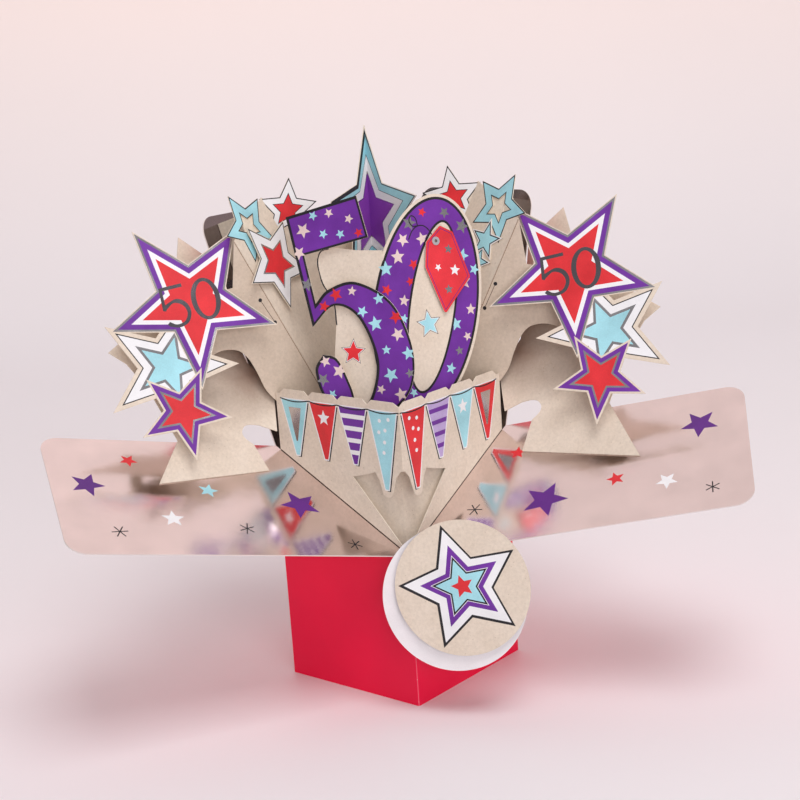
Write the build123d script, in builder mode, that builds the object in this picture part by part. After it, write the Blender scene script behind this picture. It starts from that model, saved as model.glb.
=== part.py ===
from build123d import *
import os
from math import sin, cos, tan, radians, pi, sqrt

# ---------------------------------------------------------------------------
# Pop-up card that opens out of a square sleeve (millimetres).
# Origin: centre of the sleeve's underside.  +Z up, -Y towards the reader.
# The sleeve stands on one of its corners' diagonals: a corner faces -Y.
# ---------------------------------------------------------------------------

# --- driving dimensions -----------------------------------------------------
wall = 64.0            # width of one sleeve wall
flat_height = 186.0    # height of the card when folded flat
hinge_low = 59.0       # height of the flap crease at the front and back corner
hinge_slope = 28.4     # slope of the flap creases, degrees
front_fold = (91.6, 94.6)   # left and right front flap folded outwards by, degrees
back_fold = (20.5, 17.0)    # left and right back flap leaning outwards by, degrees
flap_corner = 7.0      # rounded corners of the flaps
card = 0.5             # sleeve card thickness
kraft = 0.4            # inner card thickness
glue = 0.06            # glue line between two sheets
foam = 1.5             # foam pad thickness

half = wall / sqrt(2)                       # half diagonal of the sleeve
slope = tan(radians(hinge_slope))
hinge_high = hinge_low + wall * slope       # crease height at the side corners

# --- small vector helpers ---------------------------------------------------
UP = Vector(0, 0, 1)
FRONT, LEFT = Vector(0, -half, 0), Vector(-half, 0, 0)
BACK, RIGHT = Vector(0, half, 0), Vector(half, 0, 0)


def facing(az, el):
    """Unit vector that faces az degrees right of -Y and el degrees up."""
    a, e = radians(az), radians(el)
    return Vector(sin(a) * cos(e), -cos(a) * cos(e), sin(e))


def sheet_plane(origin, normal, up=UP):
    """Plane of a sheet, its local X to the reader's right and Y up."""
    return Plane(origin=origin, x_dir=up.cross(normal).normalized(), z_dir=normal.normalized())


def local(plane, points):
    """Points of space as flat coordinates of a sheet's plane."""
    found = []
    for p in points:
        w = p - plane.origin
        found.append((w.dot(plane.x_dir), w.dot(plane.y_dir)))
    return found


def crossing(p1, n1, p2, n2):
    """Point and direction of the line in which two planes cross."""
    d = n1.cross(n2)
    a, b = n1.dot(p1), n2.dot(p2)
    point = (n2.cross(d) * a + d.cross(n1) * b) * (1 / d.dot(d))
    return point, d.normalized()


def along(point, direction, x):
    """Point of a line at the given X."""
    return point + direction * ((x - point.X) / direction.X)


def at_height(point, direction, z):
    """Point of a line at the given height."""
    return point + direction * ((z - point.Z) / direction.Z)


def grow(points, e):
    """Polygon with every edge moved outwards by e."""
    area = sum(points[i][0] * points[(i + 1) % len(points)][1] - points[(i + 1) % len(points)][0] * points[i][1] for i in range(len(points)))
    pts = points if area > 0 else points[::-1]
    moved = []
    for i in range(len(pts)):
        (x0, y0), (x1, y1), (x2, y2) = pts[i - 1], pts[i], pts[(i + 1) % len(pts)]
        l1, l2 = sqrt((x1 - x0) ** 2 + (y1 - y0) ** 2), sqrt((x2 - x1) ** 2 + (y2 - y1) ** 2)
        a1, b1 = (y1 - y0) / l1, -(x1 - x0) / l1
        a2, b2 = (y2 - y1) / l2, -(x2 - x1) / l2
        k = e / (1 + a1 * a2 + b1 * b2)
        moved.append((x1 + (a1 + a2) * k, y1 + (b1 + b2) * k))
    return moved


def star(cx, cy, r, turn, waist=0.42, grow_by=0.0):
    """Five-pointed star: tips at turn + 72 n degrees."""
    pts = []
    for i in range(10):
        a = radians(turn + 36 * i)
        q = r if i % 2 == 0 else r * waist
        pts.append((cx + q * cos(a), cy + q * sin(a)))
    return grow(pts, grow_by) if grow_by else pts


def mirrored(p):
    return Vector(-p.X, p.Y, p.Z)


# --- sleeve: walls, flaps and the glued seam ---------------------------------
corners = [(FRONT, LEFT, front_fold[0]), (FRONT, RIGHT, front_fold[1]), (BACK, LEFT, back_fold[0]), (BACK, RIGHT, back_fold[1])]
cb, sb = cos(radians(hinge_slope)), sin(radians(hinge_slope))


def flap_axes(low, high, fold):
    """Crease start, crease direction, flap direction and inner-side normal."""
    run = (high - low) * (1 / wall)
    out = run.cross(UP)
    if out.dot(low + high) < 0:
        out = out * -1
    crease = run * cb + UP * sb
    rise = run * -sb + UP * cb
    f = radians(fold)
    reach = rise * cos(f) + out * sin(f)
    inner = rise * sin(f) - out * cos(f)
    return low + UP * hinge_low, crease, reach, inner


def flap_point(low, high, fold, h, z, lift=0.0):
    """Point of a folded flap from its flat place: h from the low corner, z up the flat card."""
    start, crease, reach, inner = flap_axes(low, high, fold)
    a = h * cb + (z - hinge_low) * sb
    b = -h * sb + (z - hinge_low) * cb
    return start + crease * a + reach * b + inner * lift


def flat_to_flap(h, z):
    return (h * cb + (z - hinge_low) * sb, -h * sb + (z - hinge_low) * cb)


wall_panels = []
flap_panels = []
for low, high, fold in corners:
    run = (high - low) * (1 / wall)
    e = card / 2
    rise_by = e / cb if fold > 45 else 0.1
    wall_panels.append((
        Plane(origin=low, x_dir=run, z_dir=run.cross(UP)),
        [(-e, 0), (wall + e, 0), (wall + e, hinge_high + e * slope + rise_by), (-e, hinge_low - e * slope + rise_by)],
    ))
    start, crease, reach, inner = flap_axes(low, high, fold)
    tuck = -e if fold > 45 else -0.1
    a0, b0 = flat_to_flap(0.3, flat_height)
    a1, b1 = flat_to_flap(wall - 0.3, flat_height)
    flap_panels.append((
        Plane(origin=start, x_dir=crease, z_dir=crease.cross(reach)),
        [(0.3, tuck), (wall / cb - 0.3, tuck), (a1, b1), (a0, b0)],
    ))

run_bl = (LEFT - BACK) * (1 / wall)
seam_in = Vector(1, -1, 0).normalized()      # towards the inside from the back left wall
seam_plane = Plane(origin=BACK + seam_in * card, x_dir=run_bl, z_dir=run_bl.cross(UP))

with BuildPart() as outer_sleeve:
    for plane, outline in wall_panels:
        with BuildSketch(plane):
            with BuildLine():
                Polyline(*outline, close=True)
            make_face()
        extrude(amount=card / 2, both=True)
    for plane, outline in flap_panels:
        with BuildSketch(plane) as flap_sketch:
            with BuildLine():
                Polyline(*outline, close=True)
            make_face()
            fillet(flap_sketch.vertices().sort_by(Axis.Y)[-2:], radius=flap_corner)
        extrude(amount=card / 2, both=True)
    # seam: the glued tab of the back right wall, on the inside of the back left wall
    with BuildSketch(seam_plane):
        with BuildLine():
            Polyline((0, 1), (12, 4), (12, hinge_low - 2), (0, hinge_low - 5), close=True)
        make_face()
    extrude(amount=card / 2, both=True)
outer_sleeve.part.label = "outer_sleeve"

# --- floor panel that squares the sleeve up ----------------------------------
floor_width = wall - card - 2 * glue - 0.3
tab_in = card / 2 + glue + kraft / 2


def wall_inside(low, high, depth):
    """Plane parallel to a sleeve wall, depth inside its middle surface."""
    run = (high - low) * (1 / wall)
    n = run.cross(UP)
    if n.dot(low + high) > 0:
        n = n * -1
    return Plane(origin=low + n * depth, x_dir=run, z_dir=run.cross(UP)), n


with BuildPart() as base_floor:
    with BuildSketch(Plane.XY):
        Rectangle(floor_width, floor_width, rotation=45)
    extrude(amount=kraft)
    for low, high in ((FRONT, LEFT), (FRONT, RIGHT)):
        with BuildSketch(wall_inside(low, high, tab_in)[0]):
            with BuildLine():
                Polyline((6, 0), (wall - 6, 0), (wall - 12, 12), (12, 12), close=True)
            make_face()
        extrude(amount=kraft / 2, both=True)
base_floor.part.label = "base_floor"

# --- banner: lining of the two front walls that stands on above the creases ---
banner_depth = card / 2 + glue + kraft / 2
ridge = FRONT + Vector(0, banner_depth * sqrt(2), 0)
pennant_pitch = 14.6
pennant_top = 113.0
banner_end = 61.0


def banner_outline():
    """Left half in the wall's plane: distance from the ridge, height."""
    low = lambda h: hinge_low + h * slope
    top = []
    for i in range(4):
        c = pennant_pitch * (i + 0.5) + 0.6
        top += [(c - 5.2, 117.0), (c + 5.2, 117.0), (c + pennant_pitch / 2, 115.2)]
    top = [p for p in top if p[0] < banner_end - 0.5]
    pts = [(-0.12, low(0) - 9.5), (banner_end, low(banner_end) - 9.5), (banner_end, 115.0)]
    pts += top[::-1] + [(-0.12, 115.4)]
    # lower edge over the window: round the two inner pennants
    c0 = pennant_pitch * 0.5 + 0.6
    pts += [(-0.12, 91.6), (1.2, 91.2), (3.4, 88.6), (c0 - 2.0, 81.4), (c0 - 1.0, 80.6), (c0 + 1.0, 80.6), (c0 + 2.0, 81.4), (c0 + 3.5, 86.8), (c0 + 5.3, 89.6), (17.5, 88.2)]
    # window edge down to the corner
    pts += [(24.6, 86.4), (2.2, low(0) + 3.2), (-0.12, low(0) + 1.6)]
    return pts


banner_left = Plane(origin=ridge, x_dir=(LEFT - FRONT).normalized(), z_dir=(LEFT - FRONT).cross(UP).normalized())
banner_right = Plane(origin=ridge, x_dir=(RIGHT - FRONT).normalized(), z_dir=(RIGHT - FRONT).cross(UP).normalized())

with BuildPart() as front_banner:
    for plane in (banner_left, banner_right):
        with BuildSketch(plane):
            with BuildLine():
                Polyline(*banner_outline(), close=True)
            make_face()
        extrude(amount=kraft / 2, both=True)
front_banner.part.label = "front_banner"

# --- plane of the left bridge, and the creases of the left flaps ------------------
bridge_normal = Vector(1471, -2239, 1441).normalized()
flap_lift = card / 2 + glue + kraft / 2
foot_point = flap_point(FRONT, LEFT, front_fold[0], 44.0, 120.0, flap_lift)
bridge_plane = sheet_plane(foot_point, bridge_normal)

# --- inner bowl: one folded sheet, wing / side / back / back / side / wing -----
rim_out = Vector(-54.0, 0, 174.0)            # rim at the wing crease
rim_in = Vector(-42.4, 20.7, 187.2)          # rim at the inner crease
apex = Vector(0, 11.0, 59.0)                 # lowest point, on the centre crease
crease_mid = rim_in + (apex - rim_out) * (42.4 / 54.0)
crease_top = Vector(0, 34.21, 165.0)
up_crease = (rim_out - apex).normalized()

side_normal = (apex - rim_out).cross(rim_in - rim_out).normalized()
back_normal = (crease_mid - rim_in).cross(crease_top - rim_in).normalized()
wing_normal = facing(20, 4.04)
wing_normal = (wing_normal - up_crease * wing_normal.dot(up_crease)).normalized()

side_plane = sheet_plane(rim_out, side_normal)
back_plane = sheet_plane(rim_in, back_normal)
wing_plane = sheet_plane(rim_out, wing_normal)

blue_r, white_r = 14.2, 12.6
blue_at = local(side_plane, [Vector(-48.2, 9.1, 178.1)])[0]
white_at = (10.4, -5.8)

wing_outline = local(wing_plane, [
    rim_out, Vector(-55.9, -2.0, 156.8), Vector(-66.0, -5.9, 155.2), Vector(-74.6, -9.0, 153.6),
    Vector(-76.0, -10.5, 141.0), Vector(-69.5, -8.8, 131.2), Vector(-66.0, -7.5, 132.9), Vector(-61.4, -5.7, 134.2),
    Vector(-56.0, -3.8, 133.2), Vector(-52.4, -2.8, 129.6), Vector(-49.4, -2.2, 123.4), Vector(-46.4, -1.7, 116.0),
    Vector(-40.3, 0.1, 108.3), apex + up_crease * 40.0,
])
# the wing's outer edge turns back and is glued on the front of the bridge
return_low, return_high = Vector(-76.0, -10.5, 141.0), Vector(-74.6, -9.0, 153.6)
return_low = return_low - wing_normal * (return_low - rim_out).dot(wing_normal)
return_high = return_high - wing_normal * (return_high - rim_out).dot(wing_normal)
tab_on_bridge = foot_point + bridge_normal * (kraft + glue)


def back_to_bridge(p):
    return p - wing_normal * ((p - tab_on_bridge).dot(bridge_normal) / wing_normal.dot(bridge_normal))


return_low_b, return_high_b = back_to_bridge(return_low), back_to_bridge(return_high)
return_normal = (return_high - return_low).cross(wing_normal).normalized()
return_plane = Plane(origin=return_low, x_dir=wing_normal * -1, z_dir=return_normal)
return_outline = local(return_plane, [return_low, return_high, return_high_b, return_low_b])
return_tab_plane = sheet_plane(return_low_b, bridge_normal)
tab_side = return_tab_plane.x_dir * 5.0
return_tab_outline = local(return_tab_plane, [return_low_b, return_high_b, return_high_b + tab_side, return_low_b + tab_side])


def side_of(plane, flip):
    """The same sheet plane on the other side of the card."""
    if not flip:
        return plane
    return Plane(origin=mirrored(plane.origin), x_dir=mirrored(plane.x_dir) * -1, z_dir=mirrored(plane.z_dir))


def turned(points, flip):
    return [(-x, y) for x, y in points] if flip else points


side_outline = local(side_plane, [rim_out, apex, crease_mid, rim_in])
back_outline = local(back_plane, [rim_in, crease_mid, crease_top])

with BuildPart() as inner_bowl:
    for flip in (False, True):
        with BuildSketch(side_of(side_plane, flip)):
            with BuildLine():
                Polyline(*turned(grow(side_outline, 0.12), flip), close=True)
            make_face()
            with BuildLine():
                Polyline(*turned(star(blue_at[0], blue_at[1], blue_r, 43.5, 0.5), flip), close=True)
            make_face()
            with BuildLine():
                Polyline(*turned(star(blue_at[0], blue_at[1], blue_r * 0.42, 43.5, 0.5), flip), close=True)
            make_face(mode=Mode.SUBTRACT)
        extrude(amount=kraft / 2, both=True)
        with BuildSketch(side_of(back_plane, flip)):
            with BuildLine():
                Polyline(*turned(grow(back_outline, 0.12), flip), close=True)
            make_face()
            with BuildLine():
                Polyline(*turned(star(white_at[0], white_at[1], white_r, 82, 0.48), flip), close=True)
            make_face()
        extrude(amount=kraft / 2, both=True)
        with BuildSketch(side_of(wing_plane, flip)):
            with BuildLine():
                Polyline(*turned(grow(wing_outline, 0.12), flip), close=True)
            make_face()
        extrude(amount=kraft / 2, both=True)
        for plane, outline in ((return_plane, return_outline), (return_tab_plane, return_tab_outline)):
            with BuildSketch(side_of(plane, flip)):
                with BuildLine():
                    Polyline(*turned(grow(outline, 0.1), flip), close=True)
                make_face()
            extrude(amount=kraft / 2, both=True)
inner_bowl.part.label = "inner_bowl"

# --- star clusters in front of the wings --------------------------------------
cluster_normal = facing(20, 22)
cluster_origin = Vector(-72.0, -10.8, 153.5)
cluster_plane = sheet_plane(cluster_origin, cluster_normal)
big_star = (0.9, 1.0, 30.6, 48.5)
mid_star = (-13.4, -22.0, 24.0, 66.0)
small_star = (-11.0, -39.6, 15.2, 57.0)
star_border = 1.1

# V-folded hanger between wing and cluster, its fold where the two faces meet
tab_gap = kraft / 2 + glue + kraft / 2
hang_wing = wing_normal * tab_gap + rim_out
hang_cluster = cluster_origin - cluster_normal * tab_gap
fold_at, fold_dir = crossing(hang_wing, wing_normal, hang_cluster, cluster_normal)
hang_a, hang_b = along(fold_at, fold_dir, -71.5), along(fold_at, fold_dir, -58.5)

with BuildPart() as left_star_cluster:
    with BuildSketch(cluster_plane):
        for cx, cy, r, turn in (big_star, mid_star, small_star):
            with BuildLine():
                Polyline(*star(cx, cy, r, turn, grow_by=star_border), close=True)
            make_face()
    extrude(amount=kraft / 2, both=True)
left_star_cluster.part.label = "left_star_cluster"

with BuildPart() as right_star_cluster:
    with BuildSketch(side_of(cluster_plane, True)):
        for cx, cy, r, turn in (big_star, mid_star, small_star):
            with BuildLine():
                Polyline(*turned(star(cx, cy, r, turn, grow_by=star_border), True), close=True)
            make_face()
    extrude(amount=kraft / 2, both=True)
right_star_cluster.part.label = "right_star_cluster"


hang_leg = 9.0
hang_len = (hang_b - hang_a).length
hang_plane = Plane(origin=hang_a, x_dir=wing_normal, z_dir=(hang_b - hang_a).normalized())
wing_down = wing_normal.cross(hang_plane.z_dir)
wing_down = wing_down * (-1 if wing_down.Z > 0 else 1)
cluster_down = cluster_normal.cross(hang_plane.z_dir)
cluster_down = cluster_down * (-1 if cluster_down.Z > 0 else 1)


def hanger_profile():
    """V section, seen along the fold: legs on the wing and on the cluster's back."""
    e = kraft / 2
    opening = wing_down.get_angle(cluster_down)
    middle = (wing_down + cluster_down).normalized() * (e / sin(radians(opening / 2)))
    w, c = wing_normal * -e, cluster_normal * e
    pts = [w, wing_down * hang_leg + w, wing_down * hang_leg - w, middle, cluster_down * hang_leg - c, cluster_down * hang_leg + c, c]
    return local(hang_plane, [hang_a + q for q in pts])


with BuildPart() as left_star_hanger:
    with BuildSketch(hang_plane):
        with BuildLine():
            Polyline(*hanger_profile(), close=True)
        make_face()
    extrude(amount=hang_len)
left_star_hanger.part.label = "left_star_hanger"

with BuildPart() as right_star_hanger:
    with BuildSketch(Plane(origin=mirrored(hang_a), x_dir=mirrored(hang_plane.x_dir), z_dir=mirrored(hang_plane.z_dir))):
        with BuildLine():
            Polyline(*[(x, -y) for x, y in hanger_profile()], close=True)
        make_face()
    extrude(amount=hang_len)
right_star_hanger.part.label = "right_star_hanger"

# --- bridges: sheets from each front flap up to the wing on the same side ---


def bridge_foot(fold):
    """Crease of the bridge's foot on a front flap, its tab, and the flap's inner normal."""
    start, crease, reach, inner = flap_axes(FRONT, LEFT, fold)
    at, way = crossing(foot_point, bridge_normal, start + inner * flap_lift, inner)
    out, near = along(at, way, -88.0), along(at, way, -48.5)
    return out, near, [along(at, way, -86.0), near, near + crease * 7.0, along(at, way, -72.0) + crease * 7.0], inner


def on_bridge(x, z):
    """Point of the left bridge at the given X and height."""
    y = foot_point.Y - (bridge_normal.X * (x - foot_point.X) + bridge_normal.Z * (z - foot_point.Z)) / bridge_normal.Y
    return Vector(x, y, z)


bridge_edge = local(bridge_plane, [on_bridge(x, z) for x, z in (
    (-53.4, 98.4), (-56.4, 101.2), (-57.4, 103.4), (-56.4, 105.2), (-54.1, 105.4), (-50.6, 104.4), (-44.2, 101.0), (-44.2, 115.0),
    (-45.0, 120.0), (-50.2, 122.6), (-53.4, 126.4), (-55.9, 133.0), (-58.8, 150.0), (-61.5, 162.4), (-75.5, 174.3), (-77.0, 163.0), (-83.0, 151.5), (-103.0, 139.5), (-97.0, 134.6), (-90.0, 125.0),
    (-80.7, 105.8),
)])


def bridge_faces(flip):
    """The bridge's sheet and its foot tab: plane and outline."""
    out, near, tab, inner = bridge_foot(front_fold[1] if flip else front_fold[0])
    outline = local(bridge_plane, [out, near]) + bridge_edge
    plane = sheet_plane(out, inner)
    return [
        (side_of(bridge_plane, flip), turned(grow(outline, 0.1), flip)),
        (side_of(plane, flip), turned(grow(local(plane, tab), 0.02), flip)),
    ]


with BuildPart() as left_bridge:
    for plane, outline in bridge_faces(False):
        with BuildSketch(plane):
            with BuildLine():
                Polyline(*outline, close=True)
            make_face()
        extrude(amount=kraft / 2, both=True)
left_bridge.part.label = "left_bridge"

with BuildPart() as right_bridge:
    for plane, outline in bridge_faces(True):
        with BuildSketch(plane):
            with BuildLine():
                Polyline(*outline, close=True)
            make_face()
        extrude(amount=kraft / 2, both=True)
right_bridge.part.label = "right_bridge"

# --- struts between the bowl's sides and the back flaps -------------------------
strut_depth = kraft / 2 + glue + kraft / 2
strut_from = local(side_plane, [rim_in])[0]
strut_low, strut_high = -26.0, -4.0         # below the rim, along the side's Y
web_x = strut_from[0] - 7.0


def on_side(x, y, lift):
    return side_plane.origin + side_plane.x_dir * x + side_plane.y_dir * y + side_normal * lift


def strut_faces(flip):
    """Tab on the bowl, web, tab on the flap."""
    y0, y1 = strut_from[1] + strut_low, strut_from[1] + strut_high
    a0, a1 = on_side(web_x, y0, -strut_depth), on_side(web_x, y1, -strut_depth)
    start_b, crease_b, reach_b, inner_b = flap_axes(BACK, LEFT, back_fold[1] if flip else back_fold[0])
    flap_o = start_b + inner_b * flap_lift
    drop = lambda p: p - side_normal * ((p - flap_o).dot(inner_b) / side_normal.dot(inner_b))
    b0, b1 = drop(a0), drop(a1)
    web_n = side_plane.x_dir * -1
    web = Plane(origin=a0, x_dir=side_normal * -1, z_dir=web_n)
    tab1 = Plane(origin=a0, x_dir=side_plane.x_dir, z_dir=side_normal)
    tab2 = sheet_plane(b0, inner_b)
    d1 = side_plane.x_dir * -8.0
    d2 = tab2.x_dir * 8.0
    found = [
        (web, grow(local(web, [a0, b0, b1, a1]), 0.05)),
        (tab1, grow(local(tab1, [a0, a1, a1 + d1, a0 + d1]), 0.02)),
        (tab2, grow(local(tab2, [b0, b1, b1 + d2, b0 + d2]), 0.02)),
    ]
    if not flip:
        return found
    return [(Plane(origin=mirrored(p.origin), x_dir=mirrored(p.x_dir) * -1, z_dir=mirrored(p.z_dir)), turned(o, True)) for p, o in found]


with BuildPart() as left_back_strut:
    for plane, outline in strut_faces(False):
        with BuildSketch(plane):
            with BuildLine():
                Polyline(*outline, close=True)
            make_face()
        extrude(amount=kraft / 2, both=True)
left_back_strut.part.label = "left_back_strut"

with BuildPart() as right_back_strut:
    for plane, outline in strut_faces(True):
        with BuildSketch(plane):
            with BuildLine():
                Polyline(*outline, close=True)
            make_face()
        extrude(amount=kraft / 2, both=True)
right_back_strut.part.label = "right_back_strut"

# --- numeral panel: V-folded sheet behind the banner, cut round the nought -------
num_left, num_right = facing(-25, 10), facing(25, 10)
num_origin = Vector(0, -30.0, 100.0)
num_ridge = num_left.cross(num_right).normalized()
if num_ridge.Z < 0:
    num_ridge = num_ridge * -1
num_left_plane = sheet_plane(num_origin, num_left, num_ridge)
num_right_plane = sheet_plane(num_origin, num_right, num_ridge)
nought = (17.3, 48.5, 22.4, 41.5, -14.0)     # centre, half width, half height, tilt
nought_hole = (19.6, 48.0, 10.2, 33.0, -14.0)
nought_border = 0.9
# creases of the two glue tabs, on the inner face of the banner
tab_lift = banner_depth + kraft / 2 + glue + kraft / 2
tab_plane_l, tab_n = wall_inside(FRONT, LEFT, tab_lift)
tab_at, tab_dir = crossing(num_origin, num_left, tab_plane_l.origin, tab_n)
tab_low, tab_high = at_height(tab_at, tab_dir, 92.0), at_height(tab_at, tab_dir, 109.0)
fold_low, fold_high = local(num_left_plane, [tab_low, tab_high])
# below the tabs the sheet goes on behind the window, clear of the banner
foot_low = local(num_left_plane, [at_height(tab_at, tab_dir, 66.0)])[0]
tail_outline = [
    (0.1, -41.0), (foot_low[0] + 1.0, foot_low[1]), (fold_low[0] + 1.0, fold_low[1] - 0.6), fold_low, fold_high, (-22.5, 30.0), (-20.5, 44.0), (-21.0, 53.0), (-25.0, 60.0), (-26.4, 68.0), (-24.6, 72.4),
    (-21.0, 73.2), (-10.0, 71.0), (0.1, 70.0),
]
right_outline = [(-0.1, -41.0), (-foot_low[0] - 1.0, foot_low[1]), (-fold_low[0] - 1.0, fold_low[1] - 0.6), (-fold_low[0], fold_low[1]), (-fold_high[0], fold_high[1]), (24.0, 24.0), (8.0, 40.0), (-0.1, 45.0)]

with BuildPart() as numeral_panel:
    with BuildSketch(num_left_plane):
        with BuildLine():
            Polyline(*tail_outline, close=True)
        make_face()
    extrude(amount=kraft / 2, both=True)
    with BuildSketch(num_right_plane):
        with Locations((nought[0], nought[1])):
            Ellipse(nought[2] + nought_border, nought[3] + nought_border, rotation=nought[4])
        with Locations((-50, 50)):
            Rectangle(100 - 0.2, 200, mode=Mode.SUBTRACT)
        with BuildLine():
            Polyline(*right_outline, close=True)
        make_face()
    extrude(amount=kraft / 2, both=True)
    for flip in (False, True):
        plane = side_of(sheet_plane(tab_low, tab_n * -1), flip)
        flat_plane = sheet_plane(tab_low, tab_n * -1)
        out = (LEFT - FRONT).normalized() * 7.0
        pts = local(flat_plane, [tab_low, tab_high, tab_high + out, tab_low + out])
        with BuildSketch(plane):
            with BuildLine():
                Polyline(*turned(grow(pts, 0.02), flip), close=True)
            make_face()
        extrude(amount=kraft / 2, both=True)
numeral_panel.part.label = "numeral_panel"

# --- figure five, die-cut, on foam in front of the tail --------------------------
five_lift = kraft / 2 + glue + foam + glue + kraft / 2
five_plane = Plane(origin=num_origin + num_left * five_lift, x_dir=num_left_plane.x_dir, z_dir=num_left)

with BuildPart() as numeral_five:
    with BuildSketch(five_plane):
        with BuildLine():
            flag = Polyline((-27.2, 52.6), (-30.2, 71.0), (-4.2, 75.2), (-7.5, 90.9), (-36.4, 85.8), (-29.2, 44.0))
            inner = Spline((-29.2, 44.0), (-20.0, 51.2), (-10.6, 46.0), (-5.0, 30.0), (-8.2, 16.4), (-13.6, 13.2), (-16.0, 21.0), (-20.4, 31.2), (-26.0, 33.4))
            outer = Spline((-26.0, 33.4), (-29.6, 27.0), (-24.6, 14.4), (-7.2, 8.4), (6.6, 16.6), (9.7, 32.0), (3.2, 50.0), (-10.4, 59.2), (-21.6, 57.4), (-27.2, 52.6))
        make_face()
    extrude(amount=kraft / 2, both=True)
numeral_five.part.label = "numeral_five"

pad_plane = Plane(origin=num_origin + num_left * (kraft / 2 + glue), x_dir=num_left_plane.x_dir, z_dir=num_left)
with BuildPart() as five_foam_upper:
    with BuildSketch(pad_plane):
        with Locations((-14.6, 54.6)):
            RectangleRounded(8.0, 4.8, 0.8)
    extrude(amount=foam)
five_foam_upper.part.label = "five_foam_upper"

with BuildPart() as five_foam_lower:
    with BuildSketch(pad_plane):
        with Locations((-20.4, 20.0)):
            RectangleRounded(4.6, 7.0, 0.8)
    extrude(amount=foam)
five_foam_lower.part.label = "five_foam_lower"

# --- gift tag on the nought, with its eyelet --------------------------------------
tag_pad = 0.8
tag_plane_0 = Plane(origin=num_origin + num_right * (kraft / 2 + glue), x_dir=num_right_plane.x_dir, z_dir=num_right)
tag_plane_1 = Plane(origin=num_origin + num_right * (kraft / 2 + 2 * glue + tag_pad), x_dir=num_right_plane.x_dir, z_dir=num_right)
tag_outline = [(24.7, 78.0), (30.2, 75.4), (36.4, 58.2), (24.1, 44.7), (17.0, 62.9), (18.3, 72.1)]
eyelet_at = (22.4, 72.3)

with BuildPart() as gift_tag:
    with BuildSketch(tag_plane_1) as tag_sketch:
        with BuildLine():
            Polyline(*tag_outline, close=True)
        make_face()
        fillet(tag_sketch.vertices(), radius=0.8)
        with Locations(eyelet_at):
            Circle(1.0, mode=Mode.SUBTRACT)
    extrude(amount=kraft)
gift_tag.part.label = "gift_tag"

with BuildPart() as tag_foam_pad:
    with BuildSketch(tag_plane_0):
        with Locations((27.0, 60.0)):
            RectangleRounded(7.0, 14.0, 1.0, rotation=10)
    extrude(amount=tag_pad)
tag_foam_pad.part.label = "tag_foam_pad"

with BuildPart() as tag_eyelet:
    with BuildSketch(Plane(origin=tag_plane_1.origin, x_dir=tag_plane_1.x_dir, z_dir=tag_plane_1.z_dir)):
        with Locations(eyelet_at):
            Circle(0.98)
            Circle(0.62, mode=Mode.SUBTRACT)
    extrude(amount=kraft + 0.25)
    with BuildSketch(Plane(origin=tag_plane_1.origin + num_right * (kraft + 0.02), x_dir=tag_plane_1.x_dir, z_dir=tag_plane_1.z_dir)):
        with Locations(eyelet_at):
            Circle(1.6)
            Circle(0.62, mode=Mode.SUBTRACT)
    extrude(amount=0.23)
tag_eyelet.part.label = "tag_eyelet"

# --- folded centre star at the back crease -----------------------------------------
bowl_lean = (crease_top.Y - crease_mid.Y) / (crease_top.Z - crease_mid.Z)
cs_open, cs_lean = 58.0, -0.04
cs_left = Vector(sin(radians(cs_open)), -cos(radians(cs_open)), cs_lean * cos(radians(cs_open))).normalized()
cs_right = mirrored(cs_left)
cs_ridge = Vector(0, cs_lean, 1).normalized()
cs_tab_lift = kraft + glue
cs_foot, cs_height = 160.0, 176.4
cs_foot_at = Vector(0, crease_top.Y + (cs_foot - crease_top.Z) * bowl_lean - cs_tab_lift / abs(back_normal.Y), cs_foot)
cs_origin = cs_foot_at + cs_ridge * (cs_height - cs_foot)
cs_left_plane = sheet_plane(cs_origin, cs_left, cs_ridge)
cs_right_plane = sheet_plane(cs_origin, cs_right, cs_ridge)
cs_r, cs_tip, cs_waist = 32.5, 35.0, 0.5
cs_tips = star(0, 0, cs_r, 90, cs_waist)
cs_half = [(0.1, cs_tip)] + cs_tips[1:5] + [(0.1, cs_tips[5][1])]
# two tabs cut at the crease and glued on the bowl's back panels
cs_tab_plane = sheet_plane(cs_foot_at, back_normal, Vector(0, bowl_lean, 1))
cs_tab = [(0.1, -11.0), (-7.0, -10.0), (-7.0, 1.0), (0.1, 4.0)]

with BuildPart() as centre_star:
    for flip in (False, True):
        with BuildSketch(cs_right_plane if flip else cs_left_plane):
            with BuildLine():
                Polyline(*turned(cs_half, flip), close=True)
            make_face()
        extrude(amount=kraft / 2, both=True)
        with BuildSketch(side_of(cs_tab_plane, flip)):
            with BuildLine():
                Polyline(*turned(cs_tab, flip), close=True)
            make_face()
        extrude(amount=kraft / 2, both=True)
centre_star.part.label = "centre_star"

# --- white star on foam in front of the bowl's left side ---------------------------
white_pad_lift = kraft / 2 + glue
white_plane_0 = Plane(origin=rim_out + side_normal * white_pad_lift, x_dir=side_plane.x_dir, z_dir=side_normal)
white_plane_1 = Plane(origin=rim_out + side_normal * (white_pad_lift + foam + glue), x_dir=side_plane.x_dir, z_dir=side_normal)
front_star_at = (17.78, -11.74)
front_star_r = 18.8

with BuildPart() as side_star:
    with BuildSketch(white_plane_1):
        with BuildLine():
            Polyline(*star(front_star_at[0], front_star_at[1], front_star_r, 52.7, 0.49), close=True)
        make_face()
    extrude(amount=kraft)
side_star.part.label = "side_star"

with BuildPart() as side_star_foam:
    with BuildSketch(white_plane_0):
        with Locations(front_star_at):
            RectangleRounded(8.0, 8.0, 1.0)
    extrude(amount=foam)
side_star_foam.part.label = "side_star_foam"

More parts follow.
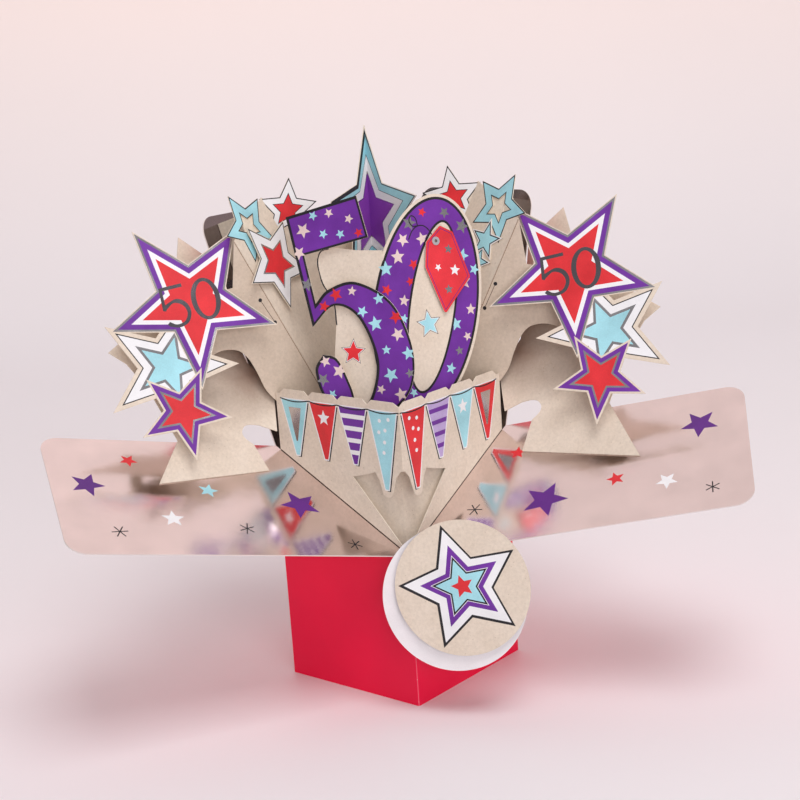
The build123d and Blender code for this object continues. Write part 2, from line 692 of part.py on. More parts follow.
# --- two small stars in one piece, glued flat on the bowl's right side ---------------
pair_plane = side_of(Plane(origin=rim_out + side_normal * (kraft / 2 + glue), x_dir=side_plane.x_dir, z_dir=side_normal), True)
pair_at = local(side_plane, [Vector(-42.6, 9.6, 165.6)])[0]
pair_stars = ((pair_at[0], pair_at[1], 8.6, 100.0), (pair_at[0] + 2.6, pair_at[1] - 8.6, 6.8, 108.0))

with BuildPart() as star_pair:
    with BuildSketch(pair_plane):
        for cx, cy, r, turn in pair_stars:
            with BuildLine():
                Polyline(*turned(star(cx, cy, r, turn), True), close=True)
            make_face()
    extrude(amount=kraft)
star_pair.part.label = "star_pair"

# --- medallion on the front corner ---------------------------------------------------
medal_normal = facing(-19, 8)
medal_centre = Vector(17.3, -59.6, 50.3) - medal_normal * kraft
backing_offset = (-3.4, -4.3)
disc_r, backing_r = 25.0, 26.9
medal_plane = sheet_plane(medal_centre, medal_normal)
backing_lift = -(kraft + 2 * glue + foam)
backing_plane = Plane(origin=medal_centre + medal_normal * backing_lift, x_dir=medal_plane.x_dir, z_dir=medal_normal)
foam_plane = Plane(origin=medal_centre + medal_normal * (backing_lift + kraft + glue), x_dir=medal_plane.x_dir, z_dir=medal_normal)

with BuildPart() as medallion:
    with BuildSketch(medal_plane):
        Circle(disc_r)
    extrude(amount=kraft)
medallion.part.label = "medallion"

with BuildPart() as medallion_backing:
    with BuildSketch(backing_plane):
        with Locations(backing_offset):
            Circle(backing_r)
    extrude(amount=kraft)
medallion_backing.part.label = "medallion_backing"

with BuildPart() as medallion_foam:
    with BuildSketch(foam_plane):
        with Locations((-2.0, -3.0)):
            RectangleRounded(22.0, 22.0, 2.0)
    extrude(amount=foam)
medallion_foam.part.label = "medallion_foam"

# V-folded hinge: one leg on the right wall, the other on the back of the medallion
right_out = Vector(1, -1, 0).normalized()
leg_wall_at = FRONT + right_out * (card / 2 + glue + kraft / 2)
leg_back_at = backing_plane.origin - medal_normal * (glue + kraft / 2)
hinge_at, hinge_dir = crossing(leg_wall_at, right_out, leg_back_at, medal_normal)
h0, h1 = at_height(hinge_at, hinge_dir, 34.0), at_height(hinge_at, hinge_dir, 54.0)

with BuildPart() as medallion_hinge:
    for origin, normal in ((h0, right_out), (h0, medal_normal)):
        plane = sheet_plane(origin, normal)
        side = plane.x_dir * 15.0
        outline = grow(local(plane, [h0, h1, h1 + side - plane.y_dir * 2, h0 + side + plane.y_dir * 2]), 0.02)
        with BuildSketch(plane):
            with BuildLine():
                Polyline(*outline, close=True)
            make_face()
        extrude(amount=kraft / 2, both=True)
medallion_hinge.part.label = "medallion_hinge"

# --- write the pieces -------------------------------------------------------------------
pieces = [
    outer_sleeve, base_floor, front_banner, inner_bowl, left_star_cluster, right_star_cluster, left_star_hanger, right_star_hanger,
    left_bridge, right_bridge, left_back_strut, right_back_strut, numeral_panel, numeral_five, five_foam_upper, five_foam_lower, gift_tag, tag_foam_pad,
    tag_eyelet, centre_star, side_star, side_star_foam, star_pair, medallion, medallion_backing, medallion_foam, medallion_hinge,
]
os.makedirs("parts", exist_ok=True)
for piece in pieces:
    export_step(piece.part, "parts/" + piece.part.label + ".step")
    print(piece.part.label, len(piece.part.solids()), round(piece.part.volume, 1))
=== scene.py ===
import bpy
import random
from math import sin, cos, tan, radians, sqrt, pi, floor as ifloor
from mathutils import Vector, Matrix
from mathutils.geometry import delaunay_2d_cdt


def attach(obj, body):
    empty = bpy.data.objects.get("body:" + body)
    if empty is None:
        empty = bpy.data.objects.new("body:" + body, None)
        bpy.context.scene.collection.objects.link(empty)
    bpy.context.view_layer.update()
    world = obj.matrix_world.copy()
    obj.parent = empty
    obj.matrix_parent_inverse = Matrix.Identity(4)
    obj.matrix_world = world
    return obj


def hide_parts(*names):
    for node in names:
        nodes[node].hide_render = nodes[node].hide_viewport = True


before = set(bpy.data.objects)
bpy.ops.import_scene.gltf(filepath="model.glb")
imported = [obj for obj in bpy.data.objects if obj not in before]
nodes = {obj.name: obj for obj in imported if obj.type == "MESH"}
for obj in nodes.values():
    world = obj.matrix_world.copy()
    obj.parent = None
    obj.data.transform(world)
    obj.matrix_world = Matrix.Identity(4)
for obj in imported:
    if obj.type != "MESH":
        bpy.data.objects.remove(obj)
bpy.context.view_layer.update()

MM = 0.001

# ---------------------------------------------------------------------------
# sizes of the card, in millimetres
# ---------------------------------------------------------------------------
wall = 64.0
flat_height = 186.0
hinge_low = 59.0
hinge_slope = 28.4
front_fold = (91.6, 94.6)
back_fold = (20.5, 17.0)
flap_corner = 7.0
card = 0.5
kraft_t = 0.4
glue = 0.06
foam = 1.5
half = wall / sqrt(2)
slope = tan(radians(hinge_slope))
hinge_high = hinge_low + wall * slope
cb, sb = cos(radians(hinge_slope)), sin(radians(hinge_slope))

V = lambda x, y, z: Vector((x, y, z))
UP = V(0, 0, 1)
FRONT, LEFT, BACK, RIGHT = V(0, -half, 0), V(-half, 0, 0), V(0, half, 0), V(half, 0, 0)


def facing(az, el):
    a, e = radians(az), radians(el)
    return V(sin(a) * cos(e), -cos(a) * cos(e), sin(e))


def mirrored(p):
    return V(-p.x, p.y, p.z)


class Pl:
    """Plane of a sheet: origin, normal towards the printed side, local X and Y."""

    def __init__(self, origin, normal, up=UP, x=None):
        self.o = origin.copy()
        self.n = normal.normalized()
        self.x = x.normalized() if x is not None else up.cross(self.n).normalized()
        self.y = self.n.cross(self.x)

    def flat(self, p):
        w = p - self.o
        return (w.dot(self.x), w.dot(self.y))

    def flats(self, points):
        return [self.flat(p) for p in points]

    def at(self, x, y, lift=0.0):
        return self.o + self.x * x + self.y * y + self.n * lift

    def other_side(self):
        return Pl(mirrored(self.o), mirrored(self.n), x=mirrored(self.x) * -1)

    def lifted(self, d):
        return Pl(self.o + self.n * d, self.n, x=self.x)


def crossing(p1, n1, p2, n2):
    d = n1.cross(n2)
    a, b = n1.dot(p1), n2.dot(p2)
    return (n2.cross(d) * a + d.cross(n1) * b) * (1 / d.dot(d)), d.normalized()


def along(point, direction, x):
    return point + direction * ((x - point.x) / direction.x)


def at_height(point, direction, z):
    return point + direction * ((z - point.z) / direction.z)


# ---------------------------------------------------------------------------
# flat shapes
# ---------------------------------------------------------------------------
def area2(p):
    return sum(p[i][0] * p[(i + 1) % len(p)][1] - p[(i + 1) % len(p)][0] * p[i][1] for i in range(len(p)))


def ccw(p):
    return list(p) if area2(p) > 0 else list(p)[::-1]


def grow(points, e):
    pts = ccw(points)
    out = []
    for i in range(len(pts)):
        (x0, y0), (x1, y1), (x2, y2) = pts[i - 1], pts[i], pts[(i + 1) % len(pts)]
        l1, l2 = sqrt((x1 - x0) ** 2 + (y1 - y0) ** 2), sqrt((x2 - x1) ** 2 + (y2 - y1) ** 2)
        a1, b1 = (y1 - y0) / l1, -(x1 - x0) / l1
        a2, b2 = (y2 - y1) / l2, -(x2 - x1) / l2
        k = e / max(0.12, 1 + a1 * a2 + b1 * b2)
        out.append((x1 + (a1 + a2) * k, y1 + (b1 + b2) * k))
    return out


def star(cx, cy, r, turn, waist=0.42, grow_by=0.0):
    pts = []
    for i in range(10):
        a = radians(turn + 36 * i)
        q = r if i % 2 == 0 else r * waist
        pts.append((cx + q * cos(a), cy + q * sin(a)))
    return grow(pts, grow_by) if grow_by else pts


def ellipse(cx, cy, rx, ry, turn=0.0, n=96):
    c, s = cos(radians(turn)), sin(radians(turn))
    out = []
    for i in range(n):
        a = 2 * pi * i / n
        x, y = rx * cos(a), ry * sin(a)
        out.append((cx + x * c - y * s, cy + x * s + y * c))
    return out


def stroke(x0, y0, x1, y1, w):
    l = sqrt((x1 - x0) ** 2 + (y1 - y0) ** 2)
    a, b = -(y1 - y0) / l * w / 2, (x1 - x0) / l * w / 2
    return [(x0 + a, y0 + b), (x0 - a, y0 - b), (x1 - a, y1 - b), (x1 + a, y1 + b)]


def ribbon(points, w):
    """A line of even width along points, as short overlapping strokes."""
    return [stroke(*points[i], *points[i + 1], w) for i in range(len(points) - 1)]


def rounded(poly, radii, n=6):
    """Polygon whose corners named in radii {index: r} are rounded."""
    out = []
    for i, p in enumerate(poly):
        r = radii.get(i)
        if not r:
            out.append(p)
            continue
        p = Vector(p)
        a, b = (Vector(poly[i - 1]) - p).normalized(), (Vector(poly[(i + 1) % len(poly)]) - p).normalized()
        ang = a.angle(b)
        d = r / tan(ang / 2)
        c = p + (a + b).normalized() * (r / sin(ang / 2))
        s, e = p + a * d - c, p + b * d - c
        sweep = s.angle_signed(e)
        for k in range(n + 1):
            t = -sweep * k / n
            out.append((c.x + s.x * cos(t) - s.y * sin(t), c.y + s.x * sin(t) + s.y * cos(t)))
    return out


def smooth_line(points, n=7):
    """Smooth line through points."""
    p = [Vector(q) for q in points]
    p = [p[0] * 2 - p[1]] + p + [p[-1] * 2 - p[-2]]
    out = []
    for i in range(1, len(p) - 2):
        for k in range(n):
            t = k / n
            a, b, c, d = p[i - 1], p[i], p[i + 1], p[i + 2]
            q = (b * 2 + (c - a) * t + (a * 2 - b * 5 + c * 4 - d) * t * t + (b * 3 - a - c * 3 + d) * t ** 3) * 0.5
            out.append((q.x, q.y))
    out.append(tuple(points[-1]))
    return out


def inside(p, poly):
    x, y = p
    hit = False
    for i in range(len(poly)):
        (x0, y0), (x1, y1) = poly[i - 1], poly[i]
        if (y0 > y) != (y1 > y) and x < (x1 - x0) * (y - y0) / (y1 - y0) + x0:
            hit = not hit
    return hit


def right_of(poly, x0):
    """Part of a polygon at X above x0."""
    out = []
    for i in range(len(poly)):
        a, b = poly[i - 1], poly[i]
        if (a[0] >= x0) != (b[0] >= x0):
            t = (x0 - a[0]) / (b[0] - a[0])
            out.append((x0, a[1] + (b[1] - a[1]) * t))
        if b[0] >= x0:
            out.append(b)
    return out


def turned(points, flip):
    return [(-x, y) for x, y in points] if flip else list(points)


def half_rings(outer, inner):
    """A ring between two lines of equally many points, as two simple pieces."""
    n = len(outer)
    h = n // 2
    return [outer[: h + 1] + inner[: h + 1][::-1], outer[h:] + [outer[0], inner[0]] + inner[h:][::-1]]


# ---------------------------------------------------------------------------
# materials
# ---------------------------------------------------------------------------
def lin(c):
    return tuple(((v / 255) / 12.92 if v / 255 <= 0.04045 else ((v / 255 + 0.055) / 1.055) ** 2.4) for v in c) + (1.0,)


def new_material(name):
    m = bpy.data.materials.new(name)
    m.use_nodes = True
    nt = m.node_tree
    return m, nt, nt.nodes["Principled BSDF"]


def noise(nt, vec, scale, detail=3.0, rough=0.55):
    n = nt.nodes.new("ShaderNodeTexNoise")
    n.inputs["Scale"].default_value = scale
    n.inputs["Detail"].default_value = detail
    n.inputs["Roughness"].default_value = rough
    nt.links.new(vec, n.inputs["Vector"])
    return n.outputs["Fac"]


def ramp(nt, fac, stops, mode="LINEAR"):
    r = nt.nodes.new("ShaderNodeValToRGB")
    r.color_ramp.interpolation = mode
    els = r.color_ramp.elements
    while len(els) < len(stops):
        els.new(0.5)
    for e, (pos, col) in zip(els, stops):
        e.position = pos
        e.color = col
    nt.links.new(fac, r.inputs["Fac"])
    return r.outputs["Color"]


def mapped(nt, fac, lo, hi, a=0.3, b=0.7):
    m = nt.nodes.new("ShaderNodeMapRange")
    m.inputs["From Min"].default_value = a
    m.inputs["From Max"].default_value = b
    m.inputs["To Min"].default_value = lo
    m.inputs["To Max"].default_value = hi
    nt.links.new(fac, m.inputs["Value"])
    return m.outputs["Result"]


def mix(nt, fac, a, b, mode="MIX"):
    m = nt.nodes.new("ShaderNodeMix")
    m.data_type = "RGBA"
    m.blend_type = mode
    if isinstance(fac, float):
        m.inputs["Factor"].default_value = fac
    else:
        nt.links.new(fac, m.inputs["Factor"])
    for sock, v in ((m.inputs["A"], a), (m.inputs["B"], b)):
        if isinstance(v, tuple):
            sock.default_value = v
        else:
            nt.links.new(v, sock)
    return m.outputs["Result"]


def bump(nt, height, strength, distance, normal=None):
    b = nt.nodes.new("ShaderNodeBump")
    b.inputs["Strength"].default_value = strength
    b.inputs["Distance"].default_value = distance
    nt.links.new(height, b.inputs["Height"])
    if normal is not None:
        nt.links.new(normal, b.inputs["Normal"])
    return b.outputs["Normal"]


def place(nt):
    return nt.nodes.new("ShaderNodeTexCoord").outputs["Object"]


def kraft_material(name, light, dark, specks=0.55):
    m, nt, bs = new_material(name)
    p = place(nt)
    mottle = noise(nt, p, 95.0, 5.0, 0.6)
    fibre = noise(nt, p, 900.0, 4.0, 0.65)
    grain = noise(nt, p, 3200.0, 2.0, 0.5)
    base = ramp(nt, mottle, [(0.3, lin(dark)), (0.72, lin(light))])
    base = mix(nt, 0.28, base, ramp(nt, fibre, [(0.32, lin(tuple(int(v * 0.86) for v in dark))), (0.66, lin(tuple(min(255, int(v * 1.03)) for v in light)))]))
    v = nt.nodes.new("ShaderNodeTexVoronoi")
    v.inputs["Scale"].default_value = 430.0
    nt.links.new(p, v.inputs["Vector"])
    speck = ramp(nt, v.outputs["Distance"], [(0.045, (specks, specks, specks, 1)), (0.10, (0, 0, 0, 1))])
    base = mix(nt, speck, base, lin((134, 104, 74)))
    nt.links.new(base, bs.inputs["Base Color"])
    nt.links.new(mapped(nt, fibre, 0.62, 0.84), bs.inputs["Roughness"])
    bs.inputs["Specular IOR Level"].default_value = 0.3
    nt.links.new(bump(nt, grain, 0.16, 0.00015, bump(nt, fibre, 0.12, 0.0003)), bs.inputs["Normal"])
    return m


def ink_material(name, rgb, rough=0.4, vary=0.10):
    m, nt, bs = new_material(name)
    p = place(nt)
    cloud = noise(nt, p, 70.0, 4.0, 0.55)
    grain = noise(nt, p, 2400.0, 2.0, 0.5)
    dark = tuple(max(0, int(v * (1 - vary))) for v in rgb)
    light = tuple(min(255, int(v * (1 + vary * 0.6) + 3)) for v in rgb)
    base = ramp(nt, cloud, [(0.3, lin(dark)), (0.7, lin(light))])
    base = mix(nt, 0.22, base, ramp(nt, grain, [(0.35, lin(dark)), (0.65, lin(light))]))
    nt.links.new(base, bs.inputs["Base Color"])
    nt.links.new(mapped(nt, cloud, rough - 0.06, rough + 0.10), bs.inputs["Roughness"])
    bs.inputs["Specular IOR Level"].default_value = 0.45
    nt.links.new(bump(nt, grain, 0.07, 0.0001), bs.inputs["Normal"])
    return m


def foil_material(name, tint, rough=0.15, wave=0.0011):
    m, nt, bs = new_material(name)
    p = place(nt)
    sway = noise(nt, p, 16.0, 2.0, 0.45)
    ripple = noise(nt, p, 75.0, 3.0, 0.5)
    grain = noise(nt, p, 2600.0, 2.0, 0.5)
    base = ramp(nt, ripple, [(0.3, lin(tuple(int(v * 0.95) for v in tint))), (0.7, lin(tint))])
    nt.links.new(base, bs.inputs["Base Color"])
    bs.inputs["Metallic"].default_value = 1.0
    nt.links.new(mapped(nt, ripple, rough, rough + 0.07), bs.inputs["Roughness"])
    n = bump(nt, sway, 1.0, wave * 4)
    n = bump(nt, ripple, 0.8, wave * 0.35, n)
    nt.links.new(bump(nt, grain, 0.05, 0.0001, n), bs.inputs["Normal"])
    return m


def coated_material(name, rgb, rough=0.3, coat=0.25, worn=0.0):
    m, nt, bs = new_material(name)
    p = place(nt)
    cloud = noise(nt, p, 26.0, 4.0, 0.5)
    peel = noise(nt, p, 700.0, 3.0, 0.5)
    dark = tuple(int(v * 0.97) for v in rgb)
    light = tuple(min(255, int(v * 1.02)) for v in rgb)
    base = ramp(nt, cloud, [(0.3, lin(dark)), (0.7, lin(light))])
    if worn:
        crack = noise(nt, p, 420.0, 6.0, 0.75)
        base = mix(nt, ramp(nt, crack, [(0.62 - worn, (0, 0, 0, 1)), (0.66 - worn * 0.8, (1, 1, 1, 1))]), base, lin((236, 214, 214)))
    nt.links.new(base, bs.inputs["Base Color"])
    nt.links.new(mapped(nt, peel, rough - 0.05, rough + 0.08), bs.inputs["Roughness"])
    bs.inputs["Coat Weight"].default_value = coat
    bs.inputs["Coat Roughness"].default_value = 0.22
    bs.inputs["Specular IOR Level"].default_value = 0.22
    nt.links.new(bump(nt, peel, 0.03, 0.00008, bump(nt, cloud, 0.12, 0.0008)), bs.inputs["Normal"])
    return m


def kraft_with_painted_shade(name, light, dark):
    """Kraft with painted shade: browner towards the middle and the top, where the wing shades it."""
    m = kraft_material(name, light, dark, 0.4)
    nt = m.node_tree
    bs = nt.nodes["Principled BSDF"]
    base = bs.inputs["Base Color"].links[0].from_socket
    sep = nt.nodes.new("ShaderNodeSeparateXYZ")
    nt.links.new(place(nt), sep.inputs["Vector"])
    aside = nt.nodes.new("ShaderNodeMath")
    aside.operation = "ABSOLUTE"
    nt.links.new(sep.outputs["X"], aside.inputs[0])
    painted_shade_mask = nt.nodes.new("ShaderNodeMath")
    painted_shade_mask.operation = "MULTIPLY"
    nt.links.new(mapped(nt, aside.outputs["Value"], 0.0, 0.92, 0.076, 0.052), painted_shade_mask.inputs[0])
    nt.links.new(mapped(nt, sep.outputs["Z"], 0.0, 0.92, 0.104, 0.122), painted_shade_mask.inputs[1])
    # dark brown mixed in over the mask is painted shade under the wing
    nt.links.new(mix(nt, painted_shade_mask.outputs["Value"], base, lin((104, 66, 48))), bs.inputs["Base Color"])
    return m


KRAFT = kraft_material("kraft_card", (229, 214, 199), (216, 199, 182), 0.4)
# bridge kraft with painted shade under the wing
KRAFT_BRIDGE_PAINTED_SHADE = kraft_with_painted_shade("kraft_card_bridge_painted_shade", (229, 214, 199), (216, 199, 182))
# darker copy of the kraft for the wings: painted shade
KRAFT_WING_PAINTED_SHADE = kraft_material("kraft_card_wing_painted_shade", (213, 195, 178), (199, 180, 162), 0.4)
KRAFT_PALE = kraft_material("kraft_card_pale", (236, 224, 208), (219, 203, 182), 0.4)
KRAFT_EDGE = kraft_material("kraft_cut_edge", (238, 228, 212), (220, 204, 184), 0.3)
RED_OUT = coated_material("sleeve_red", (240, 12, 66), 0.4, 0.05)
RED_CREASE = coated_material("sleeve_red_crease", (238, 104, 124), 0.5, 0.0, 0.03)
CORE = coated_material("sleeve_cut_edge", (232, 218, 214), 0.6, 0.0)
ROSE = foil_material("rose_foil", (244, 229, 227), 0.09, 0.0002)
# darker copy of the same rose foil for the back flaps: painted shade in their reflection
ROSE_FOIL_PAINTED_SHADE = foil_material("rose_foil_back_painted_shade", (146, 136, 138), 0.1, 0.0002)
FOIL_FIGURE = foil_material("figure_foil", (138, 133, 140), 0.16, 0.0016)
SILVER = foil_material("silver_foil", (206, 202, 206), 0.2, 0.0012)
PURPLE = ink_material("ink_purple", (108, 42, 152))
PURPLE_DEEP = ink_material("ink_purple_deep", (92, 30, 128))
# lighter copy of the purple ink for the centre star: painted light
PURPLE_PAINTED_LIGHT = ink_material("ink_purple_painted_light", (136, 64, 172))
REDINK = ink_material("ink_red", (217, 40, 48))
BLUE = ink_material("ink_light_blue", (164, 217, 229))
WHITE = ink_material("ink_white", (236, 234, 237), 0.42, 0.03)
BLACK = ink_material("ink_black", (30, 26, 32), 0.38, 0.2)
LILAC = ink_material("ink_lilac", (188, 166, 214))
PINK = ink_material("ink_rose", (226, 202, 197), 0.34, 0.06)
TAGRED = ink_material("tag_red", (222, 48, 58))
WHITECARD = ink_material("white_card", (238, 233, 236), 0.55, 0.04)
FOAM = ink_material("foam", (236, 234, 232), 0.8, 0.06)
SHADE = ink_material("crease_shade", (72, 48, 42), 0.7)
# dark line along the wing's fold: painted shade
CREASE_PAINTED_SHADE = ink_material("kraft_crease_painted_shade", (138, 110, 90), 0.7)
METAL = foil_material("eyelet_metal", (222, 222, 226), 0.42, 0.0002)


# ---------------------------------------------------------------------------
# sheets: closed slabs whose printed face is divided along the print
# ---------------------------------------------------------------------------
class Sheet:
    def __init__(self, name):
        self.name, self.v, self.f, self.m, self.mats = name, [], [], [], []

    def mi(self, material):
        if material not in self.mats:
            self.mats.append(material)
        return self.mats.index(material)

    def quad(self, pts, material):
        b = len(self.v)
        self.v += [p * MM for p in pts]
        self.f.append(tuple(range(b, b + len(pts))))
        self.m.append(self.mi(material))

    def slab(self, plane, outlines, t, front, back, edge, prints=(), holes=(), low=None):
        """outlines: polygons whose union is the sheet; prints: (polygon, material), later ones on top."""
        if isinstance(outlines[0][0], (int, float)):
            outlines = [outlines]
        pts, faces = [], []
        for poly in list(outlines) + list(holes) + [p for p, _ in prints]:
            poly = ccw(poly)
            b = len(pts)
            pts += [Vector((x, y)) for x, y in poly]
            faces.append(list(range(b, b + len(poly))))
        no, nh = len(outlines), len(holes)
        v, e, f, ov, oe, src = delaunay_2d_cdt(pts, [], faces, 1, 1e-4, True)
        hi, lo = (t / 2, -t / 2) if low is None else (low + t, low)
        base = len(self.v)
        n = len(v)
        self.v += [plane.at(p.x, p.y, hi) * MM for p in v] + [plane.at(p.x, p.y, lo) * MM for p in v]
        used = {}
        for tri, s in zip(f, src):
            if not any(i < no for i in s) or any(no <= i < no + nh for i in s):
                continue
            over = [i for i in s if i >= no + nh]
            mat = prints[max(over) - no - nh][1] if over else front
            self.f.append(tuple(base + i for i in tri))
            self.m.append(self.mi(mat))
            self.f.append(tuple(base + n + i for i in reversed(tri)))
            self.m.append(self.mi(back))
            for i in range(len(tri)):
                used[(tri[i], tri[(i + 1) % len(tri)])] = True
        for a, b in used:
            if (b, a) not in used:
                self.f.append((base + n + a, base + n + b, base + b, base + a))
                self.m.append(self.mi(edge))

    def done(self, node):
        me = bpy.data.meshes.new(self.name)
        me.from_pydata([tuple(p) for p in self.v], [], self.f)
        for m in self.mats:
            me.materials.append(m)
        me.polygons.foreach_set("material_index", self.m)
        me.validate()
        me.update()
        ob = bpy.data.objects.new(self.name, me)
        bpy.context.scene.collection.objects.link(ob)
        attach(ob, "root")
        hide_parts(node)
        return ob


def nested(cx, cy, r, turn, waist, layers):
    """Star inside star: layers of (inset in mm, material)."""
    outer = star(cx, cy, r, turn, waist)
    return [(grow(outer, -d), m) for d, m in layers]


def scatter(region, seed, count, gap, sizes, inks, keep_out=()):
    """Small stars strewn inside a region."""
    rnd = random.Random(seed)
    xs, ys = [p[0] for p in region], [p[1] for p in region]
    got, tries = [], 0
    while len(got) < count and tries < 4000:
        tries += 1
        x, y = rnd.uniform(min(xs), max(xs)), rnd.uniform(min(ys), max(ys))
        if not inside((x, y), region) or any(inside((x, y), k) for k in keep_out):
            continue
        if any((x - a) ** 2 + (y - b) ** 2 < gap * gap for a, b, *_ in got):
            continue
        got.append((x, y, rnd.choice(sizes), rnd.uniform(0, 72), inks[len(got) % len(inks)]))
    return [(star(x, y, r, t, 0.45), m) for x, y, r, t, m in got]


def asterisk(x, y, r, turn):
    return [(stroke(x - r * cos(radians(turn + a)), y - r * sin(radians(turn + a)), x + r * cos(radians(turn + a)), y + r * sin(radians(turn + a)), 0.45), BLACK) for a in (0, 62, 118)]


# --- sleeve ------------------------------------------------------------------
def flap_axes(low, high, fold):
    run = (high - low) * (1 / wall)
    out = run.cross(UP)
    if out.dot(low + high) < 0:
        out = out * -1
    crease = run * cb + UP * sb
    rise = run * -sb + UP * cb
    f = radians(fold)
    return low + UP * hinge_low, crease, rise * cos(f) + out * sin(f), rise * sin(f) - out * cos(f)


def flat_to_flap(h, z):
    return (h * cb + (z - hinge_low) * sb, -h * sb + (z - hinge_low) * cb)


sleeve = Sheet("sleeve")
e = card / 2


def loop(offset, r, n=5):
    """Plan of the tube, F R B L, with rounded corners."""
    d = half + offset * sqrt(2)
    sq = [(0, -d), (d, 0), (0, d), (-d, 0)]
    return rounded(sq, {0: r, 1: r, 2: r, 3: r}, n)


def tube_top(x, y):
    h = min(abs(x) * sqrt(2), wall)
    return hinge_low + h * slope + (-0.2 if y < 0 else 0.1)


outer, inner = loop(e, 0.9), loop(-e, 0.4)
count = len(outer)
for i in range(count):
    j = (i + 1) % count
    o0, o1, i0, i1 = outer[i], outer[j], inner[i], inner[j]
    arc = i % 6 == 2
    zo0, zo1, zi0, zi1 = tube_top(*o0), tube_top(*o1), tube_top(*i0), tube_top(*i1)
    sleeve.quad([V(*o0, 0), V(*o1, 0), V(*o1, zo1), V(*o0, zo0)], RED_CREASE if arc else RED_OUT)
    sleeve.quad([V(*i1, 0), V(*i0, 0), V(*i0, zi0), V(*i1, zi1)], ROSE)
    sleeve.quad([V(*o1, 0), V(*o0, 0), V(*i0, 0), V(*i1, 0)], CORE)
    sleeve.quad([V(*o0, zo0), V(*o1, zo1), V(*i1, zi1), V(*i0, zi0)], CORE)

left_art = [("p", 86.8, 82.2, 6.6, 20), ("p", 41.7, 17.0, 8.0, 65), ("r", 91.0, 59.6, 3.6, 10), ("w", 57.9, 66.3, 4.4, 40), ("b", 64.0, 43.7, 3.9, 25),
            ("*", 61.3, 88.1, 3.0, 5), ("*", 41.0, 45.3, 3.0, 20), ("*", 15.0, 14.2, 2.8, 40)]
right_art = [("p", 40.6, 36.0, 9.0, 70), ("p", 92.4, 74.6, 7.4, 15), ("r", 57.6, 57.0, 3.6, 30), ("r", 60.1, 12.8, 3.5, 50), ("w", 61.8, 76.0, 4.2, 12),
             ("*", 28.4, 12.1, 3.0, 10), ("*", 63.4, 93.5, 2.8, 35)]
back_art = [("p", 70.0, 88.0, 6.0, 30), ("w", 52.0, 60.0, 4.0, 10), ("r", 30.0, 30.0, 3.6, 50), ("b", 82.0, 50.0, 3.8, 5)]
INKS = {"p": PURPLE_DEEP, "r": REDINK, "w": WHITE, "b": BLUE}


def art(items, flip):
    out = []
    for kind, a, b, r, t in items:
        got = asterisk(a, b, r, t) if kind == "*" else [(star(a, b, r, t, 0.44), INKS[kind])]
        out += [(turned(p, flip), m) for p, m in got]
    return out


for low, high, fold, items in ((FRONT, LEFT, front_fold[0], left_art), (FRONT, RIGHT, front_fold[1], right_art), (BACK, LEFT, back_fold[0], back_art), (BACK, RIGHT, back_fold[1], back_art)):
    start, crease, reach, facing_in = flap_axes(low, high, fold)
    flip = crease.cross(reach).dot(facing_in) < 0
    pl = Pl(start, facing_in, x=crease * (-1 if flip else 1))
    tuck = -e if fold > 45 else -0.1
    a0, b0 = flat_to_flap(0.3, flat_height)
    a1, b1 = flat_to_flap(wall - 0.3, flat_height)
    shape = rounded([(0.3, tuck), (wall / cb - 0.3, tuck), (a1, b1 - 0.06), (a0, b0 - 0.06)], {2: flap_corner + 0.2, 3: flap_corner + 0.2}, 12)
    # back flaps use the darker foil copy, painted shade
    sleeve.slab(pl, turned(shape, flip), card, ROSE if fold > 45 else ROSE_FOIL_PAINTED_SHADE, RED_OUT, CORE, art(items, flip))
sleeve.done("outer_sleeve")

# --- banner ------------------------------------------------------------------
banner_depth = card / 2 + glue + kraft_t / 2
ridge = FRONT + V(0, banner_depth * sqrt(2), 0)
pitch = 14.6
banner_end = 61.0
low_edge = lambda h: hinge_low + h * slope
top = []
for i in range(4):
    c = pitch * (i + 0.5) + 0.6
    top += [(c - 5.2, 117.0), (c + 5.2, 117.0), (c + pitch / 2, 115.2)]
top = [p for p in top if p[0] < banner_end - 0.5]
c0 = pitch * 0.5 + 0.6
banner_shape = [(-0.12, low_edge(0) - 9.5), (banner_end, low_edge(banner_end) - 9.5), (banner_end, 115.0)] + top[::-1] + [(-0.12, 115.4)]
banner_shape += [(-0.12, 91.6), (1.2, 91.2), (3.4, 88.6), (c0 - 2.0, 81.4), (c0 - 1.0, 80.6), (c0 + 1.0, 80.6), (c0 + 2.0, 81.4), (c0 + 3.5, 86.8), (c0 + 5.3, 89.6), (17.5, 88.2)]
banner_shape += [(24.6, 86.4), (2.2, low_edge(0) + 3.2), (-0.12, low_edge(0) + 1.6)]


def pennant(c, top_z, tip_z, w):
    return [(c - w, top_z), (c - w * 0.12, tip_z), (c + w * 0.12, tip_z), (c + w, top_z)]


